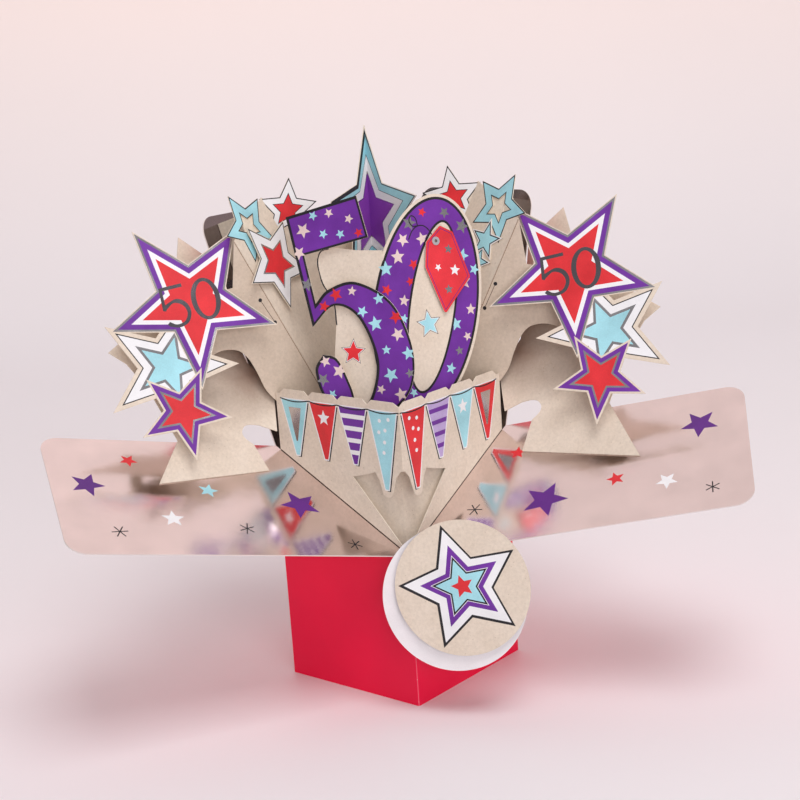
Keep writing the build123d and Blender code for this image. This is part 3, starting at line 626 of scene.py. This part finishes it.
def bunting(inks):
    out = []
    line = [(h, 113.4 - 0.9 * sin(pi * ((h - 0.6) / pitch % 1.0))) for h in [k * 1.0 for k in range(0, 60)]]
    for i, (ink, kind) in enumerate(inks):
        c = pitch * (i + 0.5) + 0.6
        tip = 83.6 if i == 0 else 91.5
        flag = pennant(c, 113.2, tip, 6.6)
        out += [([(x - 0.9, z - 0.7) for x, z in flag], BLACK), (grow(flag, 0.45), WHITE), (flag, ink)]
        if kind == "stripes":
            for k in range(4):
                z1 = 110.6 - k * 4.6
                f = lambda z: 6.6 * (0.12 + 0.88 * (z - tip) / (113.2 - tip))
                if z1 - 1.7 > tip:
                    out.append(([(c - f(z1), z1), (c - f(z1 - 1.7), z1 - 1.7), (c + f(z1 - 1.7), z1 - 1.7), (c + f(z1), z1)], WHITE if ink is not LILAC else PURPLE))
        elif kind == "star":
            out.append((star(c, 107.6, 3.1, 90, 0.45), WHITE))
        elif kind == "dots":
            for dx, dz in ((-2.6, 110.4), (1.6, 109.6), (-0.8, 106.2), (2.2, 105.2), (-0.2, 101.6), (0.4, 97.6)):
                out.append((ellipse(c + dx, dz, 0.75, 0.75, 0, 16), WHITE))
        else:
            out.append((grow(pennant(c, 110.2, tip + 5.5, 3.2), 0.0), SILVER))
    out += [(p, BLACK) for p in ribbon(line, 0.5)]
    out.append((stroke(0.0, low_edge(0) + 0.4, 60.9, low_edge(60.9) + 0.4, 0.9), SHADE))
    return out


banner = Sheet("banner")
for flip, inks in ((True, ((BLUE, "dots"), (PURPLE, "stripes"), (REDINK, "star"), (BLUE, "foil"))), (False, ((REDINK, "dots"), (LILAC, "stripes"), (BLUE, "star"), (REDINK, "foil")))):
    n = V(-1, -1, 0) if flip else V(1, -1, 0)
    pl = Pl(ridge, n)
    banner.slab(pl, turned(banner_shape, flip), kraft_t, KRAFT, KRAFT_PALE, KRAFT_EDGE, [(turned(p, flip), m) for p, m in bunting(inks)])
banner.done("front_banner")

# --- inner bowl -----------------------------------------------------------------
bridge_normal = V(1471, -2239, 1441).normalized()
flap_lift = card / 2 + glue + kraft_t / 2
fs, fc, fr, fi = flap_axes(FRONT, LEFT, front_fold[0])
fa, fb = flat_to_flap(44.0, 120.0)
foot_point = fs + fc * fa + fr * fb + fi * flap_lift
bridge_plane = Pl(foot_point, bridge_normal)

rim_out, rim_in, apex = V(-54.0, 0, 174.0), V(-42.4, 20.7, 187.2), V(0, 11.0, 59.0)
crease_mid = rim_in + (apex - rim_out) * (42.4 / 54.0)
crease_top = V(0, 34.21, 165.0)
up_crease = (rim_out - apex).normalized()
side_normal = (apex - rim_out).cross(rim_in - rim_out).normalized()
back_normal = (crease_mid - rim_in).cross(crease_top - rim_in).normalized()
wing_normal = facing(20, 4.04)
wing_normal = (wing_normal - up_crease * wing_normal.dot(up_crease)).normalized()
side_plane, back_plane, wing_plane = Pl(rim_out, side_normal), Pl(rim_in, back_normal), Pl(rim_out, wing_normal)
blue_r, white_r = 14.2, 12.6
blue_at = side_plane.flat(V(-48.2, 9.1, 178.1))
white_at = (10.4, -5.8)
wing_shape = wing_plane.flats([
    rim_out, V(-55.9, -2.0, 156.8), V(-66.0, -5.9, 155.2), V(-74.6, -9.0, 153.6), V(-76.0, -10.5, 141.0), V(-69.5, -8.8, 131.2), V(-66.0, -7.5, 132.9),
    V(-61.4, -5.7, 134.2), V(-56.0, -3.8, 133.2), V(-52.4, -2.8, 129.6), V(-49.4, -2.2, 123.4), V(-46.4, -1.7, 116.0), V(-40.3, 0.1, 108.3), apex + up_crease * 40.0,
])
wing_shape = wing_shape[:5] + smooth_line(wing_shape[5:13], 4) + wing_shape[13:]
return_low, return_high = V(-76.0, -10.5, 141.0), V(-74.6, -9.0, 153.6)
return_low = return_low - wing_normal * (return_low - rim_out).dot(wing_normal)
return_high = return_high - wing_normal * (return_high - rim_out).dot(wing_normal)
tab_on_bridge = foot_point + bridge_normal * (kraft_t + glue)
to_bridge = lambda p: p - wing_normal * ((p - tab_on_bridge).dot(bridge_normal) / wing_normal.dot(bridge_normal))
return_low_b, return_high_b = to_bridge(return_low), to_bridge(return_high)
return_plane = Pl(return_low, (return_high - return_low).cross(wing_normal), x=wing_normal * -1)
return_tab = Pl(return_low_b, bridge_normal)
tab_side = return_tab.x * 5.0
side_shape = side_plane.flats([rim_out, apex, crease_mid, rim_in])
back_shape = back_plane.flats([rim_in, crease_mid, crease_top])

bowl = Sheet("bowl")
for flip in (False, True):
    f = lambda p: turned(p, flip)
    sp, bp, wp = (side_plane, back_plane, wing_plane) if not flip else (side_plane.other_side(), back_plane.other_side(), wing_plane.other_side())
    blue = star(*blue_at, blue_r, 43.5, 0.5)
    hole = star(*blue_at, blue_r * 0.42, 43.5, 0.5)
    bowl.slab(sp, [f(grow(side_shape, 0.12)), f(blue)], kraft_t, KRAFT, KRAFT_PALE, KRAFT_EDGE,
              [(f(blue), BLACK), (f(grow(blue, -0.45)), BLUE), (f(grow(hole, 0.35)), BLACK)], [f(hole)])
    white = star(*white_at, white_r, 82, 0.48)
    bowl.slab(bp, [f(grow(back_shape, 0.12)), f(white)], kraft_t, KRAFT, KRAFT_PALE, KRAFT_EDGE,
              [(f(white), BLACK), (f(grow(white, -0.4)), WHITE), (f(star(*white_at, white_r * 0.54, 82, 0.48)), BLACK), (f(star(*white_at, white_r * 0.49, 82, 0.48)), REDINK)])
    slit = ((9.8, -24.4), (14.4, -33.7)) if flip else ((7.7, -23.2), (12.7, -32.4))
    # the line along the wing's fold is painted shade; the slit and dots are the card's own marks
    slit_art = [(f(stroke(*wing_shape[0], *wing_shape[-1], 0.5)), CREASE_PAINTED_SHADE), (f(stroke(*slit[0], *slit[1], 0.22)), SHADE)] + [(f(ellipse(x, y, 0.75, 0.75, 0, 16)), BLACK) for x, y in slit]
    bowl.slab(wp, f(grow(wing_shape, 0.12)), kraft_t, KRAFT_WING_PAINTED_SHADE, KRAFT_PALE, KRAFT_EDGE, slit_art)
    for pl, pts in ((return_plane, [return_low, return_high, return_high_b, return_low_b]), (return_tab, [return_low_b, return_high_b, return_high_b + tab_side, return_low_b + tab_side])):
        bowl.slab(pl.other_side() if flip else pl, f(grow(pl.flats(pts), 0.1)), kraft_t, KRAFT, KRAFT_PALE, KRAFT_EDGE)
bowl.done("inner_bowl")

# --- star clusters ------------------------------------------------------------------
cluster_plane = Pl(V(-72.0, -10.8, 153.5), facing(20, 22))
big_star = (0.9, 1.0, 30.6, 48.5)
mid_star = (-13.4, -22.0, 24.0, 66.0)
small_star = (-11.0, -39.6, 15.2, 57.0)


def foil_numerals(cx, cy, s, turn):
    """Plain figures five and nought."""
    c, q = cos(radians(turn)), sin(radians(turn))
    put = lambda pts: [(cx + (x * c - y * q) * s, cy + (x * q + y * c) * s) for x, y in pts]
    five = [(-1.4, 5.6), (-8.2, 5.6), (-8.8, -0.9), (-8.0, -1.2)] + smooth_line([(-7.6, -0.7), (-5.2, 0.6), (-2.9, -0.5), (-2.1, -2.8), (-3.4, -5.0), (-6.0, -5.5), (-7.9, -4.3)], 5)
    five += [(-8.7, -4.9)] + smooth_line([(-8.2, -5.6), (-5.6, -6.5), (-2.6, -5.7), (-1.0, -3.0), (-1.6, 0.0), (-4.2, 1.6), (-7.7, 0.6)], 5) + [(-7.4, 4.6), (-1.4, 4.6)]
    o, i = ellipse(4.3, -0.4, 4.3, 6.1, -6, 40), ellipse(4.3, -0.4, 2.8, 5.1, -6, 40)
    return [put(five)] + [put(r) for r in half_rings(o, i)]


for flip, node in ((False, "left_star_cluster"), (True, "right_star_cluster")):
    sh = Sheet(node + "_sheet")
    f = lambda p: turned(p, flip)
    pr = []
    b, m, q = star(*big_star), star(*mid_star), star(*small_star)
    pr += [(grow(m, 1.1), KRAFT), (grow(m, -0.4), BLACK), (grow(m, -0.8), WHITE), (grow(m, -3.4), SILVER), (grow(m, -4.4), BLUE)]
    pr += [(grow(b, 1.1), KRAFT), (grow(b, 0.75), SILVER), (b, PURPLE), (grow(b, -1.9), WHITE), (grow(b, -3.5), REDINK)]
    pr += [(grow(q, 1.1), KRAFT), (grow(q, 0.4), PURPLE), (grow(q, -1.1), SILVER), (grow(q, -1.8), REDINK)]
    pr = [(f(p), k) for p, k in pr]
    pr += [(p, FOIL_FIGURE) for p in foil_numerals(*(f([(0.6, 1.2)])[0]), 1.32, 12 if flip else 6)]
    sh.slab(cluster_plane.other_side() if flip else cluster_plane, [f(grow(star(*q), 1.1)) for q in (big_star, mid_star, small_star)], kraft_t, KRAFT, KRAFT_PALE, KRAFT_EDGE, pr)
    sh.done(node)

# --- bridges ---------------------------------------------------------------------------
def on_bridge(x, z):
    y = foot_point.y - (bridge_normal.x * (x - foot_point.x) + bridge_normal.z * (z - foot_point.z)) / bridge_normal.y
    return V(x, y, z)


bridge_edge = bridge_plane.flats([on_bridge(x, z) for x, z in (
    (-53.4, 98.4), (-56.4, 101.2), (-57.4, 103.4), (-56.4, 105.2), (-54.1, 105.4), (-50.6, 104.4), (-44.2, 101.0), (-44.2, 115.0),
    (-45.0, 120.0), (-50.2, 122.6), (-53.4, 126.4), (-55.9, 133.0), (-58.8, 150.0), (-61.5, 162.4),
    (-75.5, 174.3), (-77.0, 163.0), (-83.0, 151.5), (-103.0, 139.5), (-97.0, 134.6), (-90.0, 125.0), (-80.7, 105.8),
)])
for flip, node in ((False, "left_bridge"), (True, "right_bridge")):
    start, crease, reach, inn = flap_axes(FRONT, LEFT, front_fold[1] if flip else front_fold[0])
    at, way = crossing(foot_point, bridge_normal, start + inn * flap_lift, inn)
    out_p, near_p = along(at, way, -88.0), along(at, way, -48.5)
    tab = [along(at, way, -86.0), near_p, near_p + crease * 7.0, along(at, way, -72.0) + crease * 7.0]
    shape = bridge_plane.flats([out_p, near_p]) + smooth_line(bridge_edge[0:6], 4) + bridge_edge[6:]
    tp = Pl(out_p, inn)
    sh = Sheet(node + "_sheet")
    sh.slab(bridge_plane.other_side() if flip else bridge_plane, turned(grow(shape, 0.1), flip), kraft_t, KRAFT_BRIDGE_PAINTED_SHADE, KRAFT_PALE, KRAFT_EDGE)
    sh.slab(tp.other_side() if flip else tp, turned(grow(tp.flats(tab), 0.02), flip), kraft_t, KRAFT, KRAFT_PALE, KRAFT_EDGE)
    sh.done(node)

# --- numerals ----------------------------------------------------------------------------
num_left, num_right = facing(-25, 10), facing(25, 10)
num_origin = V(0, -30.0, 100.0)
num_ridge = num_left.cross(num_right).normalized()
if num_ridge.z < 0:
    num_ridge = num_ridge * -1
left_pl, right_pl = Pl(num_origin, num_left, num_ridge), Pl(num_origin, num_right, num_ridge)
tab_lift = banner_depth + kraft_t / 2 + glue + kraft_t / 2
tab_n = V(1, 1, 0).normalized()
tab_at, tab_dir = crossing(num_origin, num_left, FRONT + tab_n * tab_lift, tab_n)
tab_low, tab_high = at_height(tab_at, tab_dir, 92.0), at_height(tab_at, tab_dir, 109.0)
fold_low, fold_high = left_pl.flats([tab_low, tab_high])
foot_low = left_pl.flat(at_height(tab_at, tab_dir, 66.0))
tail_shape = [(0.1, -41.0), (foot_low[0] + 1.0, foot_low[1]), (fold_low[0] + 1.0, fold_low[1] - 0.6), fold_low, fold_high, (-22.5, 30.0), (-20.5, 44.0), (-21.0, 53.0), (-25.0, 60.0), (-26.4, 68.0), (-24.6, 72.4), (-21.0, 73.2), (-10.0, 71.0), (0.1, 70.0)]
right_shape = [(-0.1, -41.0), (-foot_low[0] - 1.0, foot_low[1]), (-fold_low[0] - 1.0, fold_low[1] - 0.6), (-fold_low[0], fold_low[1]), (-fold_high[0], fold_high[1]), (24.0, 24.0), (8.0, 40.0), (-0.1, 45.0)]
nought = ellipse(17.3, 48.5, 22.4, 41.5, -14.0)
nought_die = ellipse(17.3, 48.5, 23.3, 42.4, -14.0)
hole_line = ellipse(19.6, 48.0, 10.2, 33.0, -14.0)
hole_in = grow(hole_line, -0.9)
star_inks = [PINK, BLUE, PINK, REDINK, BLUE, SILVER]
nought_art = [(grow(nought, -0.2), BLACK), (grow(nought, -1.2), PURPLE)]
nought_art += scatter(grow(nought, -1.6), 11, 44, 6.4, [1.9, 2.3, 2.7, 3.0], star_inks, [grow(hole_line, 0.8)])
nought_art += [(hole_line, BLACK), (hole_in, KRAFT)]
thread = smooth_line([(22.4, 73.4), (20.9, 76.2), (18.6, 78.2), (15.9, 78.3), (13.4, 76.6), (11.6, 73.4)], 5), smooth_line([(15.9, 78.3), (15.2, 81.2), (13.4, 82.2), (12.4, 80.4), (13.6, 78.4), (15.9, 78.3)], 5)
nought_art += [(p, BLACK) for line in thread for p in ribbon(line, 0.45)]
nought_art += [ (star(17.4, 41.6, 5.6, 96, 0.46), BLACK), (star(17.4, 41.6, 5.1, 96, 0.46), WHITE), (star(17.4, 41.6, 4.5, 96, 0.46), BLUE)]
tail_art = [(p, BLACK) for p in ribbon(smooth_line([(-20.3, 44.0), (-20.8, 52.6), (-24.6, 60.0), (-25.9, 67.6), (-24.3, 71.8), (-20.9, 72.6)], 5), 0.55)]
tail_art += [(star(-14.6, 33.4, 5.2, 84, 0.46), BLACK), (star(-14.6, 33.4, 4.8, 84, 0.46), WHITE), (star(-14.6, 33.4, 4.3, 84, 0.46), REDINK)]

panel = Sheet("numeral_panel_sheet")
panel.slab(left_pl, tail_shape, kraft_t, KRAFT, KRAFT_PALE, KRAFT_EDGE, tail_art + nought_art)
panel.slab(right_pl, [right_of(nought_die, -0.1), right_shape], kraft_t, KRAFT, KRAFT_PALE, KRAFT_EDGE, nought_art)
for flip in (False, True):
    tp = Pl(tab_low, tab_n * -1)
    out_v = (LEFT - FRONT).normalized() * 7.0
    pts = tp.flats([tab_low, tab_high, tab_high + out_v, tab_low + out_v])
    panel.slab(tp.other_side() if flip else tp, turned(grow(pts, 0.02), flip), kraft_t, KRAFT, KRAFT_PALE, KRAFT_EDGE)
panel.done("numeral_panel")

five_lift = kraft_t / 2 + glue + foam + glue + kraft_t / 2
five_shape = [(-27.2, 52.6), (-30.2, 71.0), (-4.2, 75.2), (-7.5, 90.9), (-36.4, 85.8)]
five_shape += smooth_line([(-29.2, 44.0), (-20.0, 51.2), (-10.6, 46.0), (-5.0, 30.0), (-8.2, 16.4), (-13.6, 13.2), (-16.0, 21.0), (-20.4, 31.2), (-26.0, 33.4)], 9)
five_shape += smooth_line([(-26.0, 33.4), (-29.6, 27.0), (-24.6, 14.4), (-7.2, 8.4), (6.6, 16.6), (9.7, 32.0), (3.2, 50.0), (-10.4, 59.2), (-21.6, 57.4), (-27.2, 52.6)], 9)[1:-1]
five_in = [(x + 0.15, y - 0.12) for x, y in grow(five_shape, -0.95)]
five_art = [(five_in, PURPLE)] + scatter(grow(five_shape, -1.5), 23, 46, 6.2, [1.9, 2.3, 2.7, 3.0], star_inks)
five = Sheet("five_sheet")
five.slab(left_pl.lifted(five_lift), five_shape, kraft_t, BLACK, KRAFT_PALE, KRAFT_EDGE, five_art)
five.done("numeral_five")

# --- tag --------------------------------------------------------------------------------------
tag_line = [(24.7, 78.0), (30.2, 75.4), (36.4, 58.2), (24.1, 44.7), (17.0, 62.9), (18.3, 72.1)]
tag_shape = rounded(tag_line, {i: 0.8 for i in range(6)}, 4)
eyelet_at = (22.4, 72.3)
tag = Sheet("tag_sheet")
tag.slab(right_pl.lifted(kraft_t / 2 + 2 * glue + 0.8), tag_shape, kraft_t, TAGRED, WHITECARD, KRAFT_EDGE,
         [(grow(tag_line, -0.8), PURPLE_DEEP), (grow(tag_line, -1.02), TAGRED), (star(27.7, 69.0, 1.9, 80, 0.45), SILVER), (star(26.5, 53.9, 1.9, 20, 0.45), SILVER), (star(22.6, 62.4, 1.5, 50, 0.45), WHITE), (star(29.8, 61.0, 2.3, 10, 0.45), WHITE)],
         [ellipse(*eyelet_at, 1.0, 1.0, 0, 24)], low=0.0)
tag.done("gift_tag")

# --- centre star ---------------------------------------------------------------------------------
bowl_lean = (crease_top.y - crease_mid.y) / (crease_top.z - crease_mid.z)
cs_open, cs_lean = 58.0, -0.04
cs_left = V(sin(radians(cs_open)), -cos(radians(cs_open)), cs_lean * cos(radians(cs_open))).normalized()
cs_ridge = V(0, cs_lean, 1).normalized()
cs_foot_at = V(0, crease_top.y + (160.0 - crease_top.z) * bowl_lean - (kraft_t + glue) / abs(back_normal.y), 160.0)
cs_origin = cs_foot_at + cs_ridge * 16.4
cs_pl = Pl(cs_origin, cs_left, cs_ridge)


def half_star(r, tip, waist):
    t = star(0, 0, r, 90, waist)
    return [(0.1, tip)] + t[1:5] + [(0.1, t[5][1])]


cstar = Sheet("centre_star_sheet")
for flip in (False, True):
    f = lambda p: turned(p, flip)
    pl = cs_pl.other_side() if flip else cs_pl
    band = half_star(30.9, 32.6, 0.5) if flip else half_star(29.0, 31.0, 0.49)
    cstar.slab(pl, f(half_star(32.5, 34.98, 0.5)), kraft_t, WHITE if flip else BLACK, KRAFT_PALE, KRAFT_EDGE,
               [(f(half_star(31.8, 34.0, 0.5)), BLACK), (f(band), BLUE), (f(half_star(23.8, 24.6, 0.53)), BLACK), (f(half_star(23.3, 24.0, 0.53)), WHITE), (f(half_star(17.6, 18.2, 0.5)), SILVER), (f(half_star(16.6, 17.0, 0.5)), PURPLE_PAINTED_LIGHT)])
    tp = Pl(cs_foot_at, back_normal, V(0, bowl_lean, 1))
    cstar.slab(tp.other_side() if flip else tp, f([(0.1, -11.0), (-7.0, -10.0), (-7.0, 1.0), (0.1, 4.0)]), kraft_t, KRAFT, KRAFT_PALE, KRAFT_EDGE)
cstar.done("centre_star")

# --- star on the left side, two small stars on the right side ----------------------------------------
front_star_at = (17.78, -11.74)
s1 = star(*front_star_at, 18.8, 52.7, 0.49)
sst = Sheet("side_star_sheet")
sst.slab(side_plane.lifted(kraft_t / 2 + glue + foam + glue), s1, kraft_t, KRAFT, KRAFT_PALE, KRAFT_EDGE,
         [(grow(s1, -0.2), BLACK), (grow(s1, -0.6), WHITE), (star(*front_star_at, 10.4, 52.7, 0.5), SILVER), (star(*front_star_at, 9.0, 52.7, 0.5), REDINK)], low=0.0)
sst.done("side_star")

pair_at = side_plane.flat(V(-42.6, 9.6, 165.6))
p1, p2 = star(pair_at[0], pair_at[1], 8.6, 100.0), star(pair_at[0] + 2.6, pair_at[1] - 8.6, 6.8, 108.0)
pst = Sheet("star_pair_sheet")
pst.slab(side_plane.lifted(kraft_t / 2 + glue).other_side(), [turned(p1, True), turned(p2, True)], kraft_t, WHITE, KRAFT_PALE, KRAFT_EDGE,
         [(turned(p2, True), WHITE), (turned(grow(p2, -0.3), True), BLACK), (turned(grow(p2, -0.7), True), BLUE), (turned(p1, True), WHITE), (turned(grow(p1, -0.35), True), BLACK), (turned(grow(p1, -0.8), True), BLUE)], low=0.0)
pst.done("star_pair")

# --- medallion ------------------------------------------------------------------------------------------
medal_normal = facing(-19, 8)
medal_centre = V(17.3, -59.6, 50.3) - medal_normal * kraft_t
medal_pl = Pl(medal_centre, medal_normal)
disc = ellipse(0, 0, 25.0, 25.0, 0, 128)
mst = Sheet("medallion_sheet")
ms = star(-0.05, 0.35, 23.8, 36.2, 0.49)
m_star = lambda r: star(0.15, 0.65, r, 36.7, 0.48)
mst.slab(medal_pl, disc, kraft_t, KRAFT, WHITECARD, KRAFT_EDGE,
         [(grow(disc, -0.25), KRAFT), (ms, BLACK), ([(x + 0.12, y + 0.12) for x, y in grow(ms, -0.85)], WHITE), (m_star(15.8), PURPLE), (m_star(11.9), WHITE), (m_star(11.4), BLACK), (m_star(10.0), BLUE), (m_star(4.3), REDINK)], low=0.0)
mst.done("medallion")
back_pl = medal_pl.lifted(-(kraft_t + 2 * glue + foam))
bst = Sheet("medallion_backing_sheet")
bst.slab(back_pl, [(x - 3.4, y - 4.3) for x, y in ellipse(0, 0, 26.9, 26.9, 0, 128)], kraft_t, WHITECARD, WHITECARD, KRAFT_EDGE, low=0.0)
bst.done("medallion_backing")

# --- pieces shown as they are ----------------------------------------------------------------------------
plain = {
    "base_floor": WHITECARD, "left_star_hanger": KRAFT_PALE, "right_star_hanger": KRAFT_PALE, "left_back_strut": KRAFT_PALE, "right_back_strut": KRAFT_PALE,
    "medallion_hinge": KRAFT_PALE, "five_foam_upper": FOAM, "five_foam_lower": FOAM, "tag_foam_pad": FOAM, "side_star_foam": FOAM, "medallion_foam": FOAM, "tag_eyelet": METAL,
}
for name, mat in plain.items():
    ob = nodes[name]
    ob.data.materials.clear()
    ob.data.materials.append(mat)

# ---------------------------------------------------------------------------
# stage, light, camera
# ---------------------------------------------------------------------------
def stage_material():
    m, nt, bs = new_material("stage_pale")
    p = place(nt)
    n = noise(nt, p, 3.0, 4.0, 0.5)
    g = noise(nt, p, 240.0, 3.0, 0.5)
    sep = nt.nodes.new("ShaderNodeSeparateXYZ")
    nt.links.new(p, sep.inputs["Vector"])
    tone = mix(nt, mapped(nt, sep.outputs["Z"], 0.0, 1.0, 0.0, 0.3), lin((240, 237, 242)), lin((246, 227, 222)))
    nt.links.new(mix(nt, mapped(nt, n, 0.0, 0.12), tone, lin((228, 218, 218))), bs.inputs["Base Color"])
    nt.links.new(mapped(nt, g, 0.5, 0.62), bs.inputs["Roughness"])
    nt.links.new(bump(nt, g, 0.04, 0.0004), bs.inputs["Normal"])
    return m


prof = [(-2.6, 0.0), (0.6, 0.0)]
for k in range(1, 13):
    a = pi / 2 * k / 12
    prof.append((0.6 + 0.5 * sin(a), 0.5 - 0.5 * cos(a)))
prof.append((1.1, 3.4))
sv, sf = [], []
for x in (-4.0, 4.0):
    sv += [(x, y, z) for y, z in prof]
k = len(prof)
for i in range(k - 1):
    sf.append((i, k + i, k + i + 1, i + 1))
me = bpy.data.meshes.new("stage_floor")
me.from_pydata(sv, [], sf)
me.materials.append(stage_material())
for poly in me.polygons:
    poly.use_smooth = True
floor_ob = bpy.data.objects.new("stage_floor", me)
bpy.context.scene.collection.objects.link(floor_ob)

world = bpy.data.worlds.new("studio")
bpy.context.scene.world = world
world.use_nodes = True
wbg = world.node_tree.nodes["Background"]
wbg.inputs["Color"].default_value = (0.85, 0.835, 0.84, 1.0)
wbg.inputs["Strength"].default_value = 0.4


def area(name, loc, target, size, power, color=(1, 1, 1), size_y=None):
    li = bpy.data.lights.new(name, "AREA")
    li.energy = power
    li.color = color
    li.size = size
    if size_y:
        li.shape = "RECTANGLE"
        li.size_y = size_y
    ob = bpy.data.objects.new(name, li)
    ob.location = loc
    ob.rotation_euler = (Vector(target) - Vector(loc)).to_track_quat("-Z", "Y").to_euler()
    bpy.context.scene.collection.objects.link(ob)
    return ob


mid = (0.0, 0.0, 0.1)
area("key", (0.2, -0.65, 1.42), mid, 0.7, 10.8, (1.0, 0.985, 0.98))
fill = bpy.data.lights.new("front", "SUN")
fill.energy = 1.08
fill.angle = radians(38)
fill.color = (1.0, 0.985, 0.985)
fill_ob = bpy.data.objects.new("front", fill)
fill_ob.rotation_euler = Vector((-0.3, 1.5, -0.4)).to_track_quat("-Z", "Y").to_euler()
bpy.context.scene.collection.objects.link(fill_ob)
area("panel", (0.05, 0.55, 1.4), (0.05, 0.5, 0.0), 1.8, 1.1, (1.0, 0.94, 0.93), 0.9)
bpy.context.scene.view_settings.view_transform = "Standard"

f_px = 1664.24
C = V(-46.305, -624.723, 258.036) * MM
az, el, roll = radians(-4.63), radians(13.50), radians(-3.90)
fwd = V(-sin(az) * cos(el), cos(az) * cos(el), -sin(el))
rgt = V(cos(az), sin(az), 0)
upv = rgt.cross(fwd)
r2 = rgt * cos(roll) + upv * sin(roll)
u2 = rgt * -sin(roll) + upv * cos(roll)
cam = bpy.data.cameras.new("camera")
cam.sensor_width = 36.0
cam.sensor_fit = "HORIZONTAL"
cam.lens = f_px * 36.0 / 800.0
cam.clip_start = 0.01
cam_ob = bpy.data.objects.new("camera", cam)
cam_ob.matrix_world = Matrix(((r2.x, u2.x, -fwd.x, C.x), (r2.y, u2.y, -fwd.y, C.y), (r2.z, u2.z, -fwd.z, C.z), (0, 0, 0, 1)))
bpy.context.scene.collection.objects.link(cam_ob)
bpy.context.scene.camera = cam_ob

bpy.context.view_layer.update()
